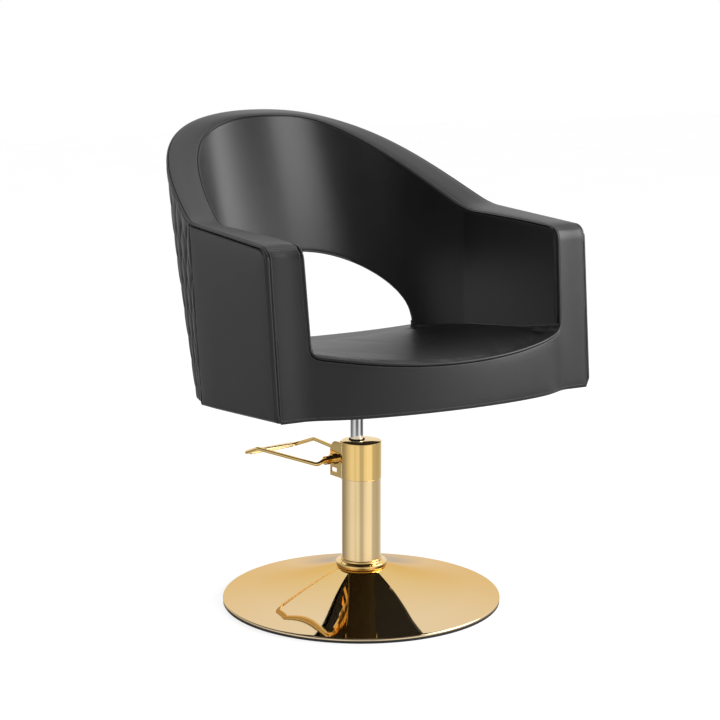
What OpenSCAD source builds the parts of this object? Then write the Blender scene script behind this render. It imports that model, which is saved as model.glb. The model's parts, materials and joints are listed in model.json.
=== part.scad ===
// Hairdressing chair: an upholstered tub seat on a hydraulic pump with a round base.
// Origin at the centre of the base on the floor, +Z up, the seat faces -Y. Millimetres.
// The tub is drawn upright in its own frame, and in_tub() leans it back about the floor centre.
// The pump is drawn with its pedal along +Y, and in_pump() turns it about the column.

/* [Base] */
// Diameter of the trumpet-shaped cover
base_d = 560; // [480:10:640]
// Height of the cover's crown above the floor
crown_h = 70; // [60:1:90]
// Height of the cover's rim band, floor ring included
rim_h = 9; // [8:0.5:12]
// Thickness of the rubber ring that the base stands on
ring_h = 5; // [3:0.5:7]
// Sheet thickness of the cover
cover_t = 1.5; // [1:0.1:2.5]
// Thickness of the steel ballast plate
ballast_t = 8; // [6:1:14]
// Share of the cover's rise that is a plain cone
flare_cone = 0.76; // [0.4:0.02:0.9]
// Steepness of the curve that makes up the rest
flare_power = 2.5; // [1.6:0.1:3.6]

/* [Column] */
// Outer diameter of the lower tube
tube_d = 79; // [72:1:90]
// Wall of the lower tube
tube_wall = 3.5; // [2:0.5:5]
// Height where the tube meets the collar
tube_top = 252; // [235:1:262]
// Outer diameter of the collar
collar_d = 81; // [74:1:92]
// Height of the collar's top face
collar_top = 326.5; // [322:0.5:345]
// Thickness of the collar's top plate
collar_cap_t = 3; // [2:0.5:5]
// Outer diameter of the turned ring on the crown
flange_d = 103; // [96:1:130]
// Height of the turned ring's straight band
flange_h = 10; // [7:1:14]

/* [Pump] */
// Angle of the pump about the column, as seen from above
pump_turn = 8; // [0:1:20]
// Distance of the rod from the column's axis
rod_off = 14.5; // [12:0.5:14.5]
// Diameter of the chrome rod
rod_d = 26; // [24:0.5:27]
// Outer diameter of the oil cylinder
cylinder_d = 34; // [33:0.5:34.5]
// Bore of the oil cylinder
cylinder_bore = 30; // [28.5:0.5:31]
// Height of the piston under the seat's rest height
piston_z = 110; // [95:1:125]
// Height of the pump head casting
head_h = 27; // [24:1:27.4]
// Diameter of the pump plunger
plunger_d = 11; // [8:0.5:11]
// Distance of the plunger from the rod's plane, across the pump
plunger_w = 26; // [25:0.5:26]

/* [Pedal] */
// Distance of the pedal's barrel from the column's axis
barrel_u = 76; // [66:1:84]
// Height of the barrel's axis at rest
barrel_z = 275; // [268:1:277]
// Diameter of the barrel
barrel_d = 18; // [15:1:20]
// Length of the barrel
barrel_len = 69; // [66:1:90]
// Diameter of the loop's rod
loop_d = 8.5; // [7:0.5:10]
// Reach of the loop's legs from the barrel
leg_reach = 183; // [140:1:220]
// Reach from the legs' end to the foot bar
lip_reach = 55; // [35:1:70]
// Drop of the foot bar under the legs' end
lip_drop = 20.5; // [10:0.5:25]
// Width of the loop at the legs' end
loop_w = 145; // [120:1:170]
// Length of the foot bar between the legs
bar_len = 136; // [110:1:160]
// Diameter of the sleeve on the foot bar
sleeve_d = 11; // [11:0.5:16]

/* [Tub] */
// Width of the tub over its flat sides
tub_w = 677; // [600:1:720]
// Height of the tub's underside above the floor, before it leans back
tub_z = 430; // [415:1:470]
// Angle that the tub leans back
tub_lean = 5; // [3:0.25:6]
// Distance of the front corners from the base's centre
front_reach = 337; // [300:1:370]
// How far the front bows out between the arms
front_bow = 80; // [50:1:100]
// Length of a flat side, from the front corner to the quilt's seam
side_len = 323; // [300:1:340]
// Height of the arms above the underside, at the front
arm_h = 308; // [280:1:330]
// Height that the arms gain up to the seam
arm_rise = 41; // [30:1:60]
// Thickness of an arm at its front top
arm_t_front = 60; // [52:1:75]
// Thickness of an arm at its top by the seam
arm_t_rim = 65; // [52:1:75]
// Thickness of an arm at its foot
arm_t_foot = 70; // [60:1:80]
// Thickness of the padded front
apron_t = 30; // [22:1:60]

/* [Back] */
// Height of the back's rim above the underside
back_h = 564; // [520:1:620]
// Distance of the back's outer rim behind the base's centre
back_reach = 387; // [360:1:420]
// Distance of the back's outer foot behind the base's centre
foot_reach = 218; // [200:1:240]
// Thickness of the back at its rim
back_t_rim = 81; // [70:1:95]
// Thickness of the back at its foot
back_t_foot = 78; // [70:1:90]
// Width of the arched opening, inside
arch_w = 436; // [380:2:440]
// Height of the arch's crown above the underside
arch_h = 264; // [220:1:280]
// Height where the arch springs, above the underside
arch_spring = 115; // [105:1:130]
// Thickness of the moulded plywood shell
shell_t = 8; // [6:0.5:10]
// Height of the roll along the top edge
roll_h = 14; // [10:1:20]

/* [Seat] */
// Height of the seat's middle above the underside, at the front
seat_h = 84; // [76:1:100]
// Height that the seat gains towards the arms
seat_rise = 26; // [10:1:36]
// Radius where the seat meets the arms
seat_fillet = 30; // [15:1:45]
// Depth of the dish in the seat's middle
seat_dish = 10; // [0:1:20]
// Height of the rear sill above the underside
sill_h = 82; // [74:1:95]
// Height of the plywood seat board's underside above the tub's underside
board_z = 12; // [10:1:16]
// Thickness of the seat board
board_t = 18; // [15:1:21]
// Thickness of the plywood side frames
frame_t = 12; // [9:1:15]
// Thickness of the side panels
panel_t = 8; // [6:1:10]
// Side of the square mounting plate
plate_w = 150; // [130:1:180]
// Spacing of the mounting bolts
bolt_spacing = 110; // [90:1:125]

/* [Quilt] */
// Depth of the quilted panels
quilt_t = 12; // [9:0.5:14]
// Depth of the stitched lines between the puffs
quilt_sink = 6; // [3:0.5:7]
// Half diamonds across each wing
wing_cells = 8; // [6:2:12]
// Half diamonds from the arch's side to the back's middle
back_cells = 12; // [8:2:16]
// Half diamonds up each wing
wing_rows = 18; // [12:2:22]
// Half diamonds up the band over the arch
back_rows = 12; // [8:2:16]

/* [Hidden] */
$fn = 96;
// Overrun of every cut
over = 1;
// Running clearance of a shaft in its bore, on the radius
run_fit = 0.05;
// Clearance between pieces that are set into each other
set_gap = 0.3;

// Base
base_r = base_d / 2;
weight_steps = 8;
weight_share = 0.36;
ring_w = 16;
crown_r = tube_d / 2 + 8;
flare_steps = 20;
tube_r = tube_d / 2;
tube_in = tube_r - tube_wall;
flange_slope_h = 6;
flange_edge = 2;
plug_h = 20;
foot_bolt_d = 10;
foot_bolt_head = 17;
foot_bolt_head_h = 6;
foot_bolt_circle = 44;
foot_bolts_n = 4;
plate_top = ring_h + ballast_t;

// Column and pump
collar_r = collar_d / 2;
collar_in = collar_r - 3.5;
collar_web = 4;
spigot_h = 15;
spigot_wall = 2.5;
head_top = collar_top - collar_cap_t;
head_z = head_top - head_h;
rod_r = rod_d / 2;
bush_wall = 3;
seal_wall = 3;
seal_rise = 1.5;
piston_h = 18;
piston_ring_h = 4;
washer_h = 3;
plunger_u = rod_off - 2.5;
plunger_len = 27;

// Pedal bracket
ear_w = 8;
ear_t = 4;
ear_out = barrel_u + 12;
ear_top = collar_top - 13;
ear_chamfer = 16;
ear_foot = barrel_z - 35;
saddle_t = 5;
saddle_w = 34;
slot_w = 20;
slot_h = 9;
slot_drop = 17;
screw_d = 6;
screw_head = 10;
screw_head_h = 4;
screw_shares = [0.28, 0.86];
ring_len = 6;
ring_d = barrel_d + 5;
lever_t = 8;
lever_h = 9;
lever_w = plunger_w;
nose_r = 5;
hub_d = barrel_d + 8;
window_w = lever_t + 4;
window_h = 26;
window_drop = 8;
socket_depth = 16;
stub_out = 17;
stub_drop = 6;
stub_straight = 5;
leg_rise = 1.7;
bend_r = 10;
lip_r = 14;
bend_lap = 0.5;

// Seat mount
socket_z = 385;
socket_d = 46;
mount_t = 6;
rod_top = tub_z + board_z - mount_t / 2;
mount_bolt_d = 8;
mount_head_d = 13;
mount_head_h = 5.3;
tee_d = 22;
tee_t = 1.5;

// Tub
half_w = tub_w / 2;
seam_y = side_len - front_reach;
rim_z = tub_z + back_h;
arm_z = tub_z + arm_h;
seam_z = arm_z + arm_rise;
rim_drop_side = 11;
rim_drop_back = 13;
inner_foot_x = half_w - arm_t_foot;
inner_rim_x = half_w - arm_t_rim;
inner_rim_y = back_reach - back_t_rim;
inner_foot_y = foot_reach - back_t_foot;
skin = quilt_t + shell_t;
arm_skin = panel_t + frame_t;
lip_h = 10;
front_lip = 30;
soft_gap = 1;
shell_gap = 0.6;
edge_r = 8;
edge_steps = 3;
board_top = tub_z + board_z + board_t;
rod_tub_y = rod_off * cos(pump_turn) * cos(tub_lean) - tub_z * sin(tub_lean);
cover_inset = 16;
dust_t = 1.5;
dust_hole = 80;
front_steps = 12;
rail_cells = 10;
seat_cols = 16;
seat_rows = 12;
solve_steps = 22;
band_power = 1.4;
turn_power = 1.4;
up_rows = 6;
arm_steps = 5;
fade_power = 8;
bow_power = 0.6;

// Control points of the tub's curves, from the side seam to the middle of the back
foot_x_shares = [1, 0.876, 1.02, 0];
foot_y_shares = [0, 0.3, 1, 1];
rim_x_shares = [1, 0.907, 0.807, 0];
rim_y_shares = [0, 0.4, 1, 1];
rim_z_shares = [0, 0.345, 1, 1];
in_rim_x_shares = [1, 0.758, 0.304, 0];
in_rim_y_shares = [0, 1.208, 1, 1];
in_rim_z_shares = [0, 0.977, 1, 1];
in_foot_x_shares = [1, 0.978, 0.709, 0];
in_foot_y_shares = [0, 0.675, 1, 1];

function lerp(a, b, s) = a + (b - a) * s;
function unit(v) = v / norm(v);
function bez(p, s) = p[0] * pow(1 - s, 3) + p[1] * 3 * pow(1 - s, 2) * s
    + p[2] * 3 * (1 - s) * s * s + p[3] * pow(s, 3);
function bez2(a, b, c, s) = lerp(lerp(a, b, s), lerp(b, c, s), s);

outer_foot = [for (i = [0:3]) [half_w * foot_x_shares[i],
    lerp(seam_y, foot_reach, foot_y_shares[i]), tub_z]];
outer_rim = [for (i = [0:3]) [half_w * rim_x_shares[i],
    lerp(seam_y, back_reach, rim_y_shares[i]), lerp(seam_z, rim_z, rim_z_shares[i])]];
inner_rim = [for (i = [0:3]) [inner_rim_x * in_rim_x_shares[i],
    lerp(seam_y, inner_rim_y, in_rim_y_shares[i]),
    lerp(seam_z - rim_drop_side, rim_z - rim_drop_back, in_rim_z_shares[i])]];
inner_foot = [for (i = [0:3]) [inner_foot_x * in_foot_x_shares[i],
    lerp(seam_y, inner_foot_y, in_foot_y_shares[i]), tub_z]];

// A section of the curved wall, at t from the seam to the middle of the back: its outer foot
// and rim and its inner rim and foot, all in one plane that turns with t.
function meet(curve, p, across_v, lo = 0, hi = 1, n = solve_steps) =
    n == 0 ? bez(curve, (lo + hi) / 2)
    : (bez(curve, (lo + hi) / 2) - p) * across_v > 0
        ? meet(curve, p, across_v, (lo + hi) / 2, hi, n - 1)
        : meet(curve, p, across_v, lo, (lo + hi) / 2, n - 1);
function section(t) = let (a = bez(outer_foot, t), b = bez(outer_rim, t),
    turn = 90 * pow(t, turn_power), across_v = cross(b - a, [-cos(turn), -sin(turn), 0]))
    [a, b, meet(inner_rim, b, across_v), meet(inner_foot, a, across_v)];

// Points of a section c: v runs from the foot to the rim, and s from the outer face to the
// inner one. side is 1 or -1.
function to_side(p, side) = [p[0] * side, p[1], p[2]];
function wall_share(c, v, s, side = 1) =
    to_side(lerp(lerp(c[0], c[1], v), lerp(c[3], c[2], v), s), side);
function wall(c, v, depth, side = 1) =
    wall_share(c, v, depth / norm(lerp(c[3], c[2], v) - lerp(c[0], c[1], v)), side);
function wall_h(c) = c[1][2] - tub_z;
function inner_at(c, z) = lerp(c[3], c[2], (z - tub_z) / (c[2][2] - tub_z));
function inner_v(c, z) = (z - tub_z) / (c[2][2] - tub_z);

// The arch: its height over a section, and the place where it springs
arch_spring_z = tub_z + arch_spring;
arch_top_z = tub_z + arch_h;
function arch_x(z) = arch_w / 2
    * sqrt(max(0, 1 - pow((z - arch_spring_z) / (arch_top_z - arch_spring_z), 2)));
function arch_z(c, lo = arch_spring_z, hi = arch_top_z, n = solve_steps) =
    n == 0 ? (lo + hi) / 2
    : inner_at(c, (lo + hi) / 2)[0] > arch_x((lo + hi) / 2)
        ? arch_z(c, lo, (lo + hi) / 2, n - 1)
        : arch_z(c, (lo + hi) / 2, hi, n - 1);
function spring_t(lo = 0, hi = 1, n = solve_steps) =
    n == 0 ? (lo + hi) / 2
    : inner_at(section((lo + hi) / 2), arch_spring_z)[0] > arch_w / 2
        ? spring_t((lo + hi) / 2, hi, n - 1)
        : spring_t(lo, (lo + hi) / 2, n - 1);
arch_t = spring_t();
wing_cuts = [for (i = [0:wing_cells]) section(arch_t * i / wing_cells)];
// Places over the arch from one side to the other: each is [section, side, v of the arch]
band_cuts = [for (i = [0:back_cells])
    let (c = section(lerp(arch_t, 1, pow(i / back_cells, band_power)))) [c, inner_v(c, arch_z(c))]];
band = [for (i = [-back_cells:back_cells]) let (b = band_cuts[back_cells - abs(i)])
    [b[0], i < 0 ? 1 : -1, b[1]]];
rail_cuts = [for (i = [0:rail_cells]) section(lerp(arch_t, 1, i / rail_cells))];

// The front's bow and the seat's height across the tub
function front_y(x) = -front_reach
    - front_bow * pow(max(0, 1 - pow(x / inner_foot_x, 2)), bow_power);
function fillet_z(x) = let (d = max(0, abs(x) - (inner_foot_x - seat_fillet)))
    seat_fillet - sqrt(max(0, seat_fillet * seat_fillet - d * d));
function seat_front_z(x) = tub_z + seat_h + seat_rise * pow(x / inner_foot_x, 2) + fillet_z(x);
function sill_z(x) = tub_z + sill_h + seat_rise / 2 * pow(x / inner_foot_x, 2);
function across(i, n) = -inner_foot_x * cos(180 * i / n);

// A corner at b turned into a short curve that starts r before it and ends r after it
function corner(a, b, c, r) = r == 0 ? [b]
    : [for (k = [0:edge_steps])
        bez2(b + unit(a - b) * r, b, b + unit(c - b) * r, k / edge_steps)];
function round_ring(p, radii) = [for (i = [0:len(p) - 1])
    each corner(p[(i + len(p) - 1) % len(p)], p[i], p[(i + 1) % len(p)], radii[i])];

// A solid through rings of points. Each end is closed by a fan from corner k over the later
// corners, and by a fan from the last corner over those up to k.
module loft(rings, k = 0, flip = false) {
    m = len(rings[0]);
    n = len(rings);
    sides = [for (i = [0:n - 2], j = [0:m - 1])
        let (a = i * m + j, b = i * m + (j + 1) % m) each [[a, b, b + m], [a, b + m, a + m]]];
    lid = concat([for (j = [k + 1:1:m - 2]) [k, j, j + 1]],
        [for (j = [0:1:k - 1]) [m - 1, j, j + 1]]);
    low = [for (f = lid) [f[2], f[1], f[0]]];
    high = [for (f = lid) [for (q = f) q + (n - 1) * m]];
    faces = concat(sides, low, high);
    polyhedron([for (r = rings) each r],
        flip ? [for (f = faces) [f[2], f[1], f[0]]] : faces);
}

// A closed slab between two grids of points, with its folds along every other diagonal
module slab(top, bottom, flip = false) {
    n = len(top);
    m = len(top[0]);
    count = n * m;
    function cell(i, j, o) = let (a = o + i * m + j, b = a + m)
        (i + j) % 2 == 0 ? [[a, b, b + 1], [a, b + 1, a + 1]]
            : [[a, b, a + 1], [b, b + 1, a + 1]];
    upper = [for (i = [0:n - 2], j = [0:m - 2]) each cell(i, j, 0)];
    lower = [for (i = [0:n - 2], j = [0:m - 2]) each
        [for (f = cell(i, j, count)) [f[2], f[1], f[0]]]];
    border = concat([for (j = [0:m - 2]) j], [for (i = [0:n - 2]) i * m + m - 1],
        [for (j = [0:m - 2]) (n - 1) * m + m - 1 - j], [for (i = [0:n - 2]) (n - 1 - i) * m]);
    rim = [for (k = [0:len(border) - 1])
        let (a = border[k], b = border[(k + 1) % len(border)])
        each [[a, b, b + count], [a, b + count, a + count]]];
    faces = concat(upper, lower, rim);
    polyhedron(concat([for (c = top) each c], [for (c = bottom) each c]),
        flip ? [for (f = faces) [f[2], f[1], f[0]]] : faces);
}

module in_tub() {
    translate([-rod_off * sin(pump_turn), 0, 0]) rotate([-tub_lean, 0, 0]) children();
}

module in_pump() {
    rotate([0, 0, pump_turn]) children();
}

module at_rod(z) {
    in_pump() translate([0, rod_off, z]) children();
}

module tube(h, outer, inner) {
    difference() {
        cylinder(h = h, r = outer);
        translate([0, 0, -over]) cylinder(h = h + 2 * over, r = inner);
    }
}

// A cylinder across the pump, centred at height z and distance u from the column
module cross_rod(u, z, w0, w1, d) {
    translate([w0, u, z]) rotate([0, 90, 0]) cylinder(h = w1 - w0, d = d);
}

// Base

function flare(s) = [lerp(base_r, crown_r, s),
    lerp(rim_h, crown_h, lerp(pow(s, flare_power), s, flare_cone))];

module base_cover() {
    color("goldenrod") rotate_extrude() polygon(concat(
        [[base_r, ring_h]],
        [for (i = [0:flare_steps]) flare(i / flare_steps)],
        [[tube_r + set_gap, crown_h], [tube_r + set_gap, crown_h - cover_t]],
        [for (i = [0:flare_steps]) flare(1 - i / flare_steps) - [cover_t, cover_t]],
        [[base_r - 2 * cover_t, ring_h]]));
}

module base_plate() {
    color("dimgray") difference() {
        rotate_extrude() polygon(concat([[0, ring_h], [base_r - 3 * cover_t, ring_h]],
            [for (i = [0:weight_steps]) let (p = flare(weight_share * i / weight_steps))
                [p[0] - 3 * cover_t, min(plate_top, p[1] - cover_t - set_gap)]],
            [[0, plate_top]]));
        foot_bolt_places() {
            translate([0, 0, -over]) cylinder(h = plate_top + 2 * over, d = foot_bolt_d + 2 * set_gap);
            translate([0, 0, -over])
                cylinder(h = ring_h + foot_bolt_head_h / 2 + over, d = foot_bolt_head + 2 * set_gap);
        }
    }
}

module floor_ring() {
    color("black") tube(ring_h, base_r - set_gap, base_r - ring_w);
}

module flange_ring() {
    color("goldenrod") rotate_extrude() polygon([
        [tube_r + set_gap, crown_h], [flange_d / 2 - flange_edge, crown_h],
        [flange_d / 2, crown_h + flange_edge], [flange_d / 2, crown_h + flange_h - flange_edge],
        [flange_d / 2 - flange_edge, crown_h + flange_h],
        [tube_r + flange_edge, crown_h + flange_h + flange_slope_h],
        [tube_r + set_gap, crown_h + flange_h + flange_slope_h]]);
}

module foot_bolt_places() {
    for (i = [0:foot_bolts_n - 1])
        rotate([0, 0, 360 * (i + 1 / 2) / foot_bolts_n]) translate([foot_bolt_circle / 2, 0, 0])
            children();
}

module foot_plug() {
    color("dimgray") difference() {
        translate([0, 0, plate_top]) cylinder(h = plug_h, r = tube_in - set_gap);
        foot_bolt_places() translate([0, 0, plate_top - over])
            cylinder(h = plug_h - cover_t + over, d = foot_bolt_d + 2 * run_fit);
    }
}

module foot_bolts() {
    color("silver") foot_bolt_places() {
        translate([0, 0, ring_h + foot_bolt_head_h / 2 - foot_bolt_head_h])
            cylinder(h = foot_bolt_head_h, d = foot_bolt_head);
        translate([0, 0, ring_h]) cylinder(h = ballast_t + plug_h / 2, d = foot_bolt_d);
    }
}

// Column

module pump_tube() {
    color("goldenrod") translate([0, 0, plate_top])
        tube(tube_top - plate_top, tube_r, tube_in);
}

module pump_collar() {
    color("gold") difference() {
        union() {
            translate([0, 0, tube_top]) cylinder(h = collar_top - tube_top, r = collar_r);
            translate([0, 0, tube_top - spigot_h])
                cylinder(h = spigot_h + over, r = tube_in - set_gap);
        }
        translate([0, 0, tube_top - spigot_h - over])
            cylinder(h = spigot_h + collar_web + 2 * over, r = tube_in - spigot_wall);
        translate([0, 0, tube_top + collar_web])
            cylinder(h = head_top - tube_top - collar_web, r = collar_in);
        at_rod(head_top - over)
            cylinder(h = collar_cap_t + 2 * over, r = rod_r + seal_wall + set_gap);
        in_pump() {
            translate([lever_w - window_w / 2, 0, barrel_z - window_drop])
                cube([window_w, collar_d, window_h]);
            bracket_screw_places() cylinder(h = collar_d, d = screw_d + 2 * set_gap);
        }
    }
}

module cylinder_tube() {
    color("silver") at_rod(plate_top + plug_h)
        tube(head_z - plate_top - plug_h, cylinder_d / 2, cylinder_bore / 2);
}

module pump_head() {
    color("gray") difference() {
        translate([0, 0, head_z]) cylinder(h = head_h, r = collar_in - set_gap);
        at_rod(head_z - over) cylinder(h = head_h + 2 * over, r = rod_r + bush_wall);
        in_pump() translate([lever_w, plunger_u, head_z - over])
            cylinder(h = head_h + 2 * over, r = plunger_d / 2 + run_fit);
        in_pump() bracket_screw_places() cylinder(h = collar_d, d = screw_d + 2 * set_gap);
    }
}

module rod_bush() {
    color("peru") at_rod(head_z) tube(head_h, rod_r + bush_wall, rod_r + run_fit);
}

module rod_seal() {
    color("black") at_rod(head_top)
        tube(collar_cap_t + seal_rise, rod_r + seal_wall, rod_r + run_fit);
}

// Pedal bracket

module bracket_screw_places() {
    for (s = screw_shares)
        translate([0, collar_r - screw_d, lerp(ear_foot, ear_top, s)]) rotate([-90, 0, 0])
            children();
}

module pedal_bracket() {
    color("goldenrod") in_pump() difference() {
        union() {
            translate([-saddle_w / 2, 0, ear_foot])
                cube([saddle_w, collar_r + saddle_t, ear_top - ear_foot]);
            for (side = [-1, 1])
                translate([side * (ear_w + ear_t / 2) - ear_t / 2, 0, 0]) rotate([90, 0, 90])
                    linear_extrude(ear_t) polygon([
                        [0, ear_foot], [ear_out, ear_foot], [ear_out, ear_top - ear_chamfer],
                        [ear_out - ear_chamfer / 2, ear_top - ear_chamfer / 4],
                        [ear_out - ear_chamfer, ear_top], [0, ear_top]]);
        }
        translate([0, 0, ear_foot - over])
            cylinder(h = ear_top - ear_foot + 2 * over, r = collar_r + set_gap);
        translate([-saddle_w, -collar_d, ear_foot - over])
            cube([2 * saddle_w, collar_d, ear_top - ear_foot + 2 * over]);
        cross_rod(barrel_u, barrel_z, -saddle_w, saddle_w, barrel_d + 2 * run_fit);
        translate([-saddle_w, barrel_u - slot_w / 2, barrel_z - slot_drop - slot_h])
            cube([2 * saddle_w, slot_w, slot_h]);
        bracket_screw_places() cylinder(h = collar_d, d = screw_d + 2 * set_gap);
    }
}

module bracket_screws() {
    color("goldenrod") in_pump() bracket_screw_places() {
        cylinder(h = screw_d + saddle_t, d = screw_d);
        translate([0, 0, screw_d + saddle_t]) cylinder(h = screw_head_h, d = screw_head);
    }
}

// Pedal

barrel_half = barrel_len / 2;
leg_u = barrel_u + leg_reach;
leg_z = barrel_z - stub_drop + leg_rise;
bar_u = leg_u + lip_reach;
bar_z = leg_z - lip_drop;
// Centre line of half the loop, from the barrel's socket to the foot bar's end
loop_points = [[barrel_half - socket_depth, barrel_u, barrel_z],
    [barrel_half + stub_straight, barrel_u, barrel_z],
    [barrel_half + stub_out, barrel_u, barrel_z - stub_drop],
    [loop_w / 2, leg_u, leg_z], [bar_len / 2, bar_u, bar_z]];
loop_radii = [0, bend_r, bend_r, lip_r, lip_r];

// Length that a bend of radius r takes from the lines at the corner b
function bend_cut(a, b, c, r) = r * tan(acos(unit(b - a) * unit(c - b)) / 2);

// A torus piece that turns the line a-b into the line b-c
module bend(a, b, c, r, d) {
    y = unit(b - a);
    z = unit(cross(y, unit(c - b)));
    x = cross(y, z);
    translate(b - y * bend_cut(a, b, c, r) - x * r)
        rotate([atan2(y[2], z[2]), atan2(-x[2], norm([x[0], x[1]])), atan2(x[1], x[0])])
            rotate_extrude(angle = acos(y * unit(c - b))) translate([r, 0]) circle(d = d);
}

// A rod through the points p. Its straights run a little into its bends, which are a hair
// thicker, so that they join.
module bent_rod(p, radii, d) {
    n = len(p);
    cut = [for (i = [0:n - 1]) i == 0 || i == n - 1 ? 0
        : bend_cut(p[i - 1], p[i], p[i + 1], radii[i]) - bend_lap];
    for (i = [0:n - 2]) {
        v = unit(p[i + 1] - p[i]);
        translate(p[i] + v * cut[i]) rotate([0, acos(v[2]), atan2(v[1], v[0])])
            cylinder(h = norm(p[i + 1] - p[i]) - cut[i] - cut[i + 1], d = d);
    }
    for (i = [1:n - 2]) bend(p[i - 1], p[i], p[i + 1], radii[i], d + 2 * run_fit);
}

module pedal_loop() {
    back = [for (i = [len(loop_points) - 1:-1:0]) i];
    color("goldenrod") in_pump() bent_rod(
        concat(loop_points, [for (i = back) to_side(loop_points[i], -1)]),
        concat(loop_radii, [for (i = back) loop_radii[i]]), loop_d);
}

module pedal_sleeve() {
    reach = bar_len / 2 - lip_r - set_gap;
    color("gold") in_pump() difference() {
        cross_rod(bar_u, bar_z, -reach, reach, sleeve_d);
        cross_rod(bar_u, bar_z, -reach - over, reach + over, loop_d);
    }
}

module pedal_barrel() {
    color("goldenrod") in_pump() difference() {
        cross_rod(barrel_u, barrel_z, -barrel_half, barrel_half, barrel_d);
        cross_rod(barrel_u, barrel_z, barrel_half - socket_depth, barrel_half + over, loop_d);
        cross_rod(barrel_u, barrel_z, -barrel_half - over, socket_depth - barrel_half, loop_d);
    }
}

module pedal_rings() {
    ring_in = ear_w + ear_t + set_gap;
    color("gold") in_pump() for (side = [-1, 1]) difference() {
        translate([side * (ring_in + ring_len / 2), barrel_u, barrel_z]) rotate([0, 90, 0])
            cylinder(h = ring_len, d = ring_d, center = true);
        translate([side * (ring_in + ring_len / 2), barrel_u, barrel_z]) rotate([0, 90, 0])
            cylinder(h = ring_len + 2 * over, d = barrel_d, center = true);
    }
}

module pedal_lever() {
    color("gray") in_pump() difference() {
        union() {
            translate([lever_w - lever_t / 2, plunger_u, barrel_z - lever_h / 2])
                cube([lever_t, barrel_u - plunger_u, lever_h]);
            cross_rod(plunger_u, barrel_z, lever_w - lever_t / 2, lever_w + lever_t / 2, 2 * nose_r);
            cross_rod(barrel_u, barrel_z, lever_w - lever_t / 2, lever_w + lever_t / 2, hub_d);
        }
        cross_rod(barrel_u, barrel_z, lever_w - lever_t, lever_w + lever_t, barrel_d);
    }
}

module pump_plunger() {
    color("silver") in_pump() translate([lever_w, plunger_u, barrel_z + nose_r + set_gap])
        cylinder(h = plunger_len, d = plunger_d);
}

// Lift and rod

module piston() {
    color("silver") at_rod(piston_z) difference() {
        cylinder(h = piston_h, r = cylinder_bore / 2 - run_fit);
        translate([0, 0, piston_h / 2 - piston_ring_h / 2])
            tube(piston_ring_h, cylinder_bore, rod_r);
    }
}

module piston_ring() {
    color("black") at_rod(piston_z + piston_h / 2 - piston_ring_h / 2)
        tube(piston_ring_h, cylinder_bore / 2 - run_fit, rod_r);
}

module thrust_washer() {
    color("peru") at_rod(piston_z + piston_h) cylinder(h = washer_h, r = rod_r - set_gap);
}

module piston_rod() {
    rod_z = piston_z + piston_h + washer_h;
    color("silver") at_rod(rod_z) cylinder(h = rod_top - rod_z, r = rod_r);
}

// Seat mount

module mount_bolt_places() {
    for (x = [-1, 1], y = [-1, 1])
        translate([x * bolt_spacing / 2, rod_tub_y + y * bolt_spacing / 2, tub_z + board_z])
            children();
}

module seat_mount() {
    color("dimgray") difference() {
        union() {
            in_tub() translate([-plate_w / 2, rod_tub_y - plate_w / 2, tub_z + board_z - mount_t])
                cube([plate_w, plate_w, mount_t]);
            at_rod(socket_z) cylinder(h = rod_top - socket_z, d = socket_d);
        }
        at_rod(socket_z - over) cylinder(h = tub_z + 2 * board_z - socket_z, r = rod_r);
        in_tub() mount_bolt_places() cylinder(h = 2 * mount_t + 2 * over,
            d = mount_bolt_d + 2 * set_gap, center = true);
    }
}

module mount_bolts() {
    color("silver") in_tub() mount_bolt_places() {
        translate([0, 0, -mount_t]) cylinder(h = mount_t + board_t - tee_t - set_gap,
            d = mount_bolt_d);
        translate([0, 0, -mount_t - mount_head_h]) cylinder(h = mount_head_h, d = mount_head_d);
    }
}

module tee_nuts() {
    color("silver") in_tub() mount_bolt_places() {
        translate([0, 0, board_t - tee_t]) cylinder(h = tee_t, d = tee_d);
        translate([0, 0, board_t / 2]) tube(board_t / 2, mount_bolt_d / 2 + mount_t / 4,
            mount_bolt_d / 2);
    }
}

all_cuts = concat(wing_cuts, [for (i = [1:rail_cells]) rail_cuts[i]]);
inner_plan = [for (c = all_cuts) [c[3][0], c[3][1]]];
outer_plan = [for (c = all_cuts) [c[0][0], c[0][1]]];
// A half outline from the seam to the middle, and its mirror image back to the other seam
function both_sides(p) = concat(p, [for (i = [len(p) - 2:-1:0]) [-p[i][0], p[i][1]]]);

module seat_board() {
    under_arm = half_w - arm_skin - set_gap;
    arm_front = -front_reach + front_lip + set_gap;
    side = inner_foot_x - set_gap;
    front = [for (i = [0:front_steps])
        let (x = across(i, front_steps) * side / inner_foot_x)
        [x, front_y(x) + apron_t + set_gap]];
    rear = [for (p = inner_plan) [p[0] - set_gap * p[0] / side, p[1] - set_gap]];
    color("burlywood") in_tub() difference() {
        translate([0, 0, tub_z + board_z]) linear_extrude(board_t) polygon(concat(
            [[-under_arm, arm_front], [-side, arm_front]], front,
            [[side, arm_front], [under_arm, arm_front], [under_arm, seam_y - set_gap]],
            both_sides(rear), [[-under_arm, seam_y - set_gap]]));
        mount_bolt_places() {
            translate([0, 0, -over])
                cylinder(h = board_t + 2 * over, d = mount_bolt_d + mount_t / 2 + 2 * set_gap);
            translate([0, 0, board_t - tee_t - set_gap])
                cylinder(h = board_t, d = tee_d + 2 * set_gap);
        }
    }
}

module dust_cover() {
    side = half_w - cover_inset;
    scale_x = side / half_w;
    rear = [for (p = outer_plan) [p[0] * scale_x, p[1] - cover_inset]];
    color("black") in_tub() translate([0, 0, tub_z - dust_t - set_gap]) linear_extrude(dust_t)
        difference() {
            polygon(concat([[-side, -front_reach + cover_inset]],
                [for (i = [0:front_steps]) let (x = across(i, front_steps))
                    [x, front_y(x) + cover_inset]],
                [[side, -front_reach + cover_inset]], both_sides(rear)));
            translate([0, rod_tub_y]) circle(d = dust_hole);
        }
}

// Arms

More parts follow.
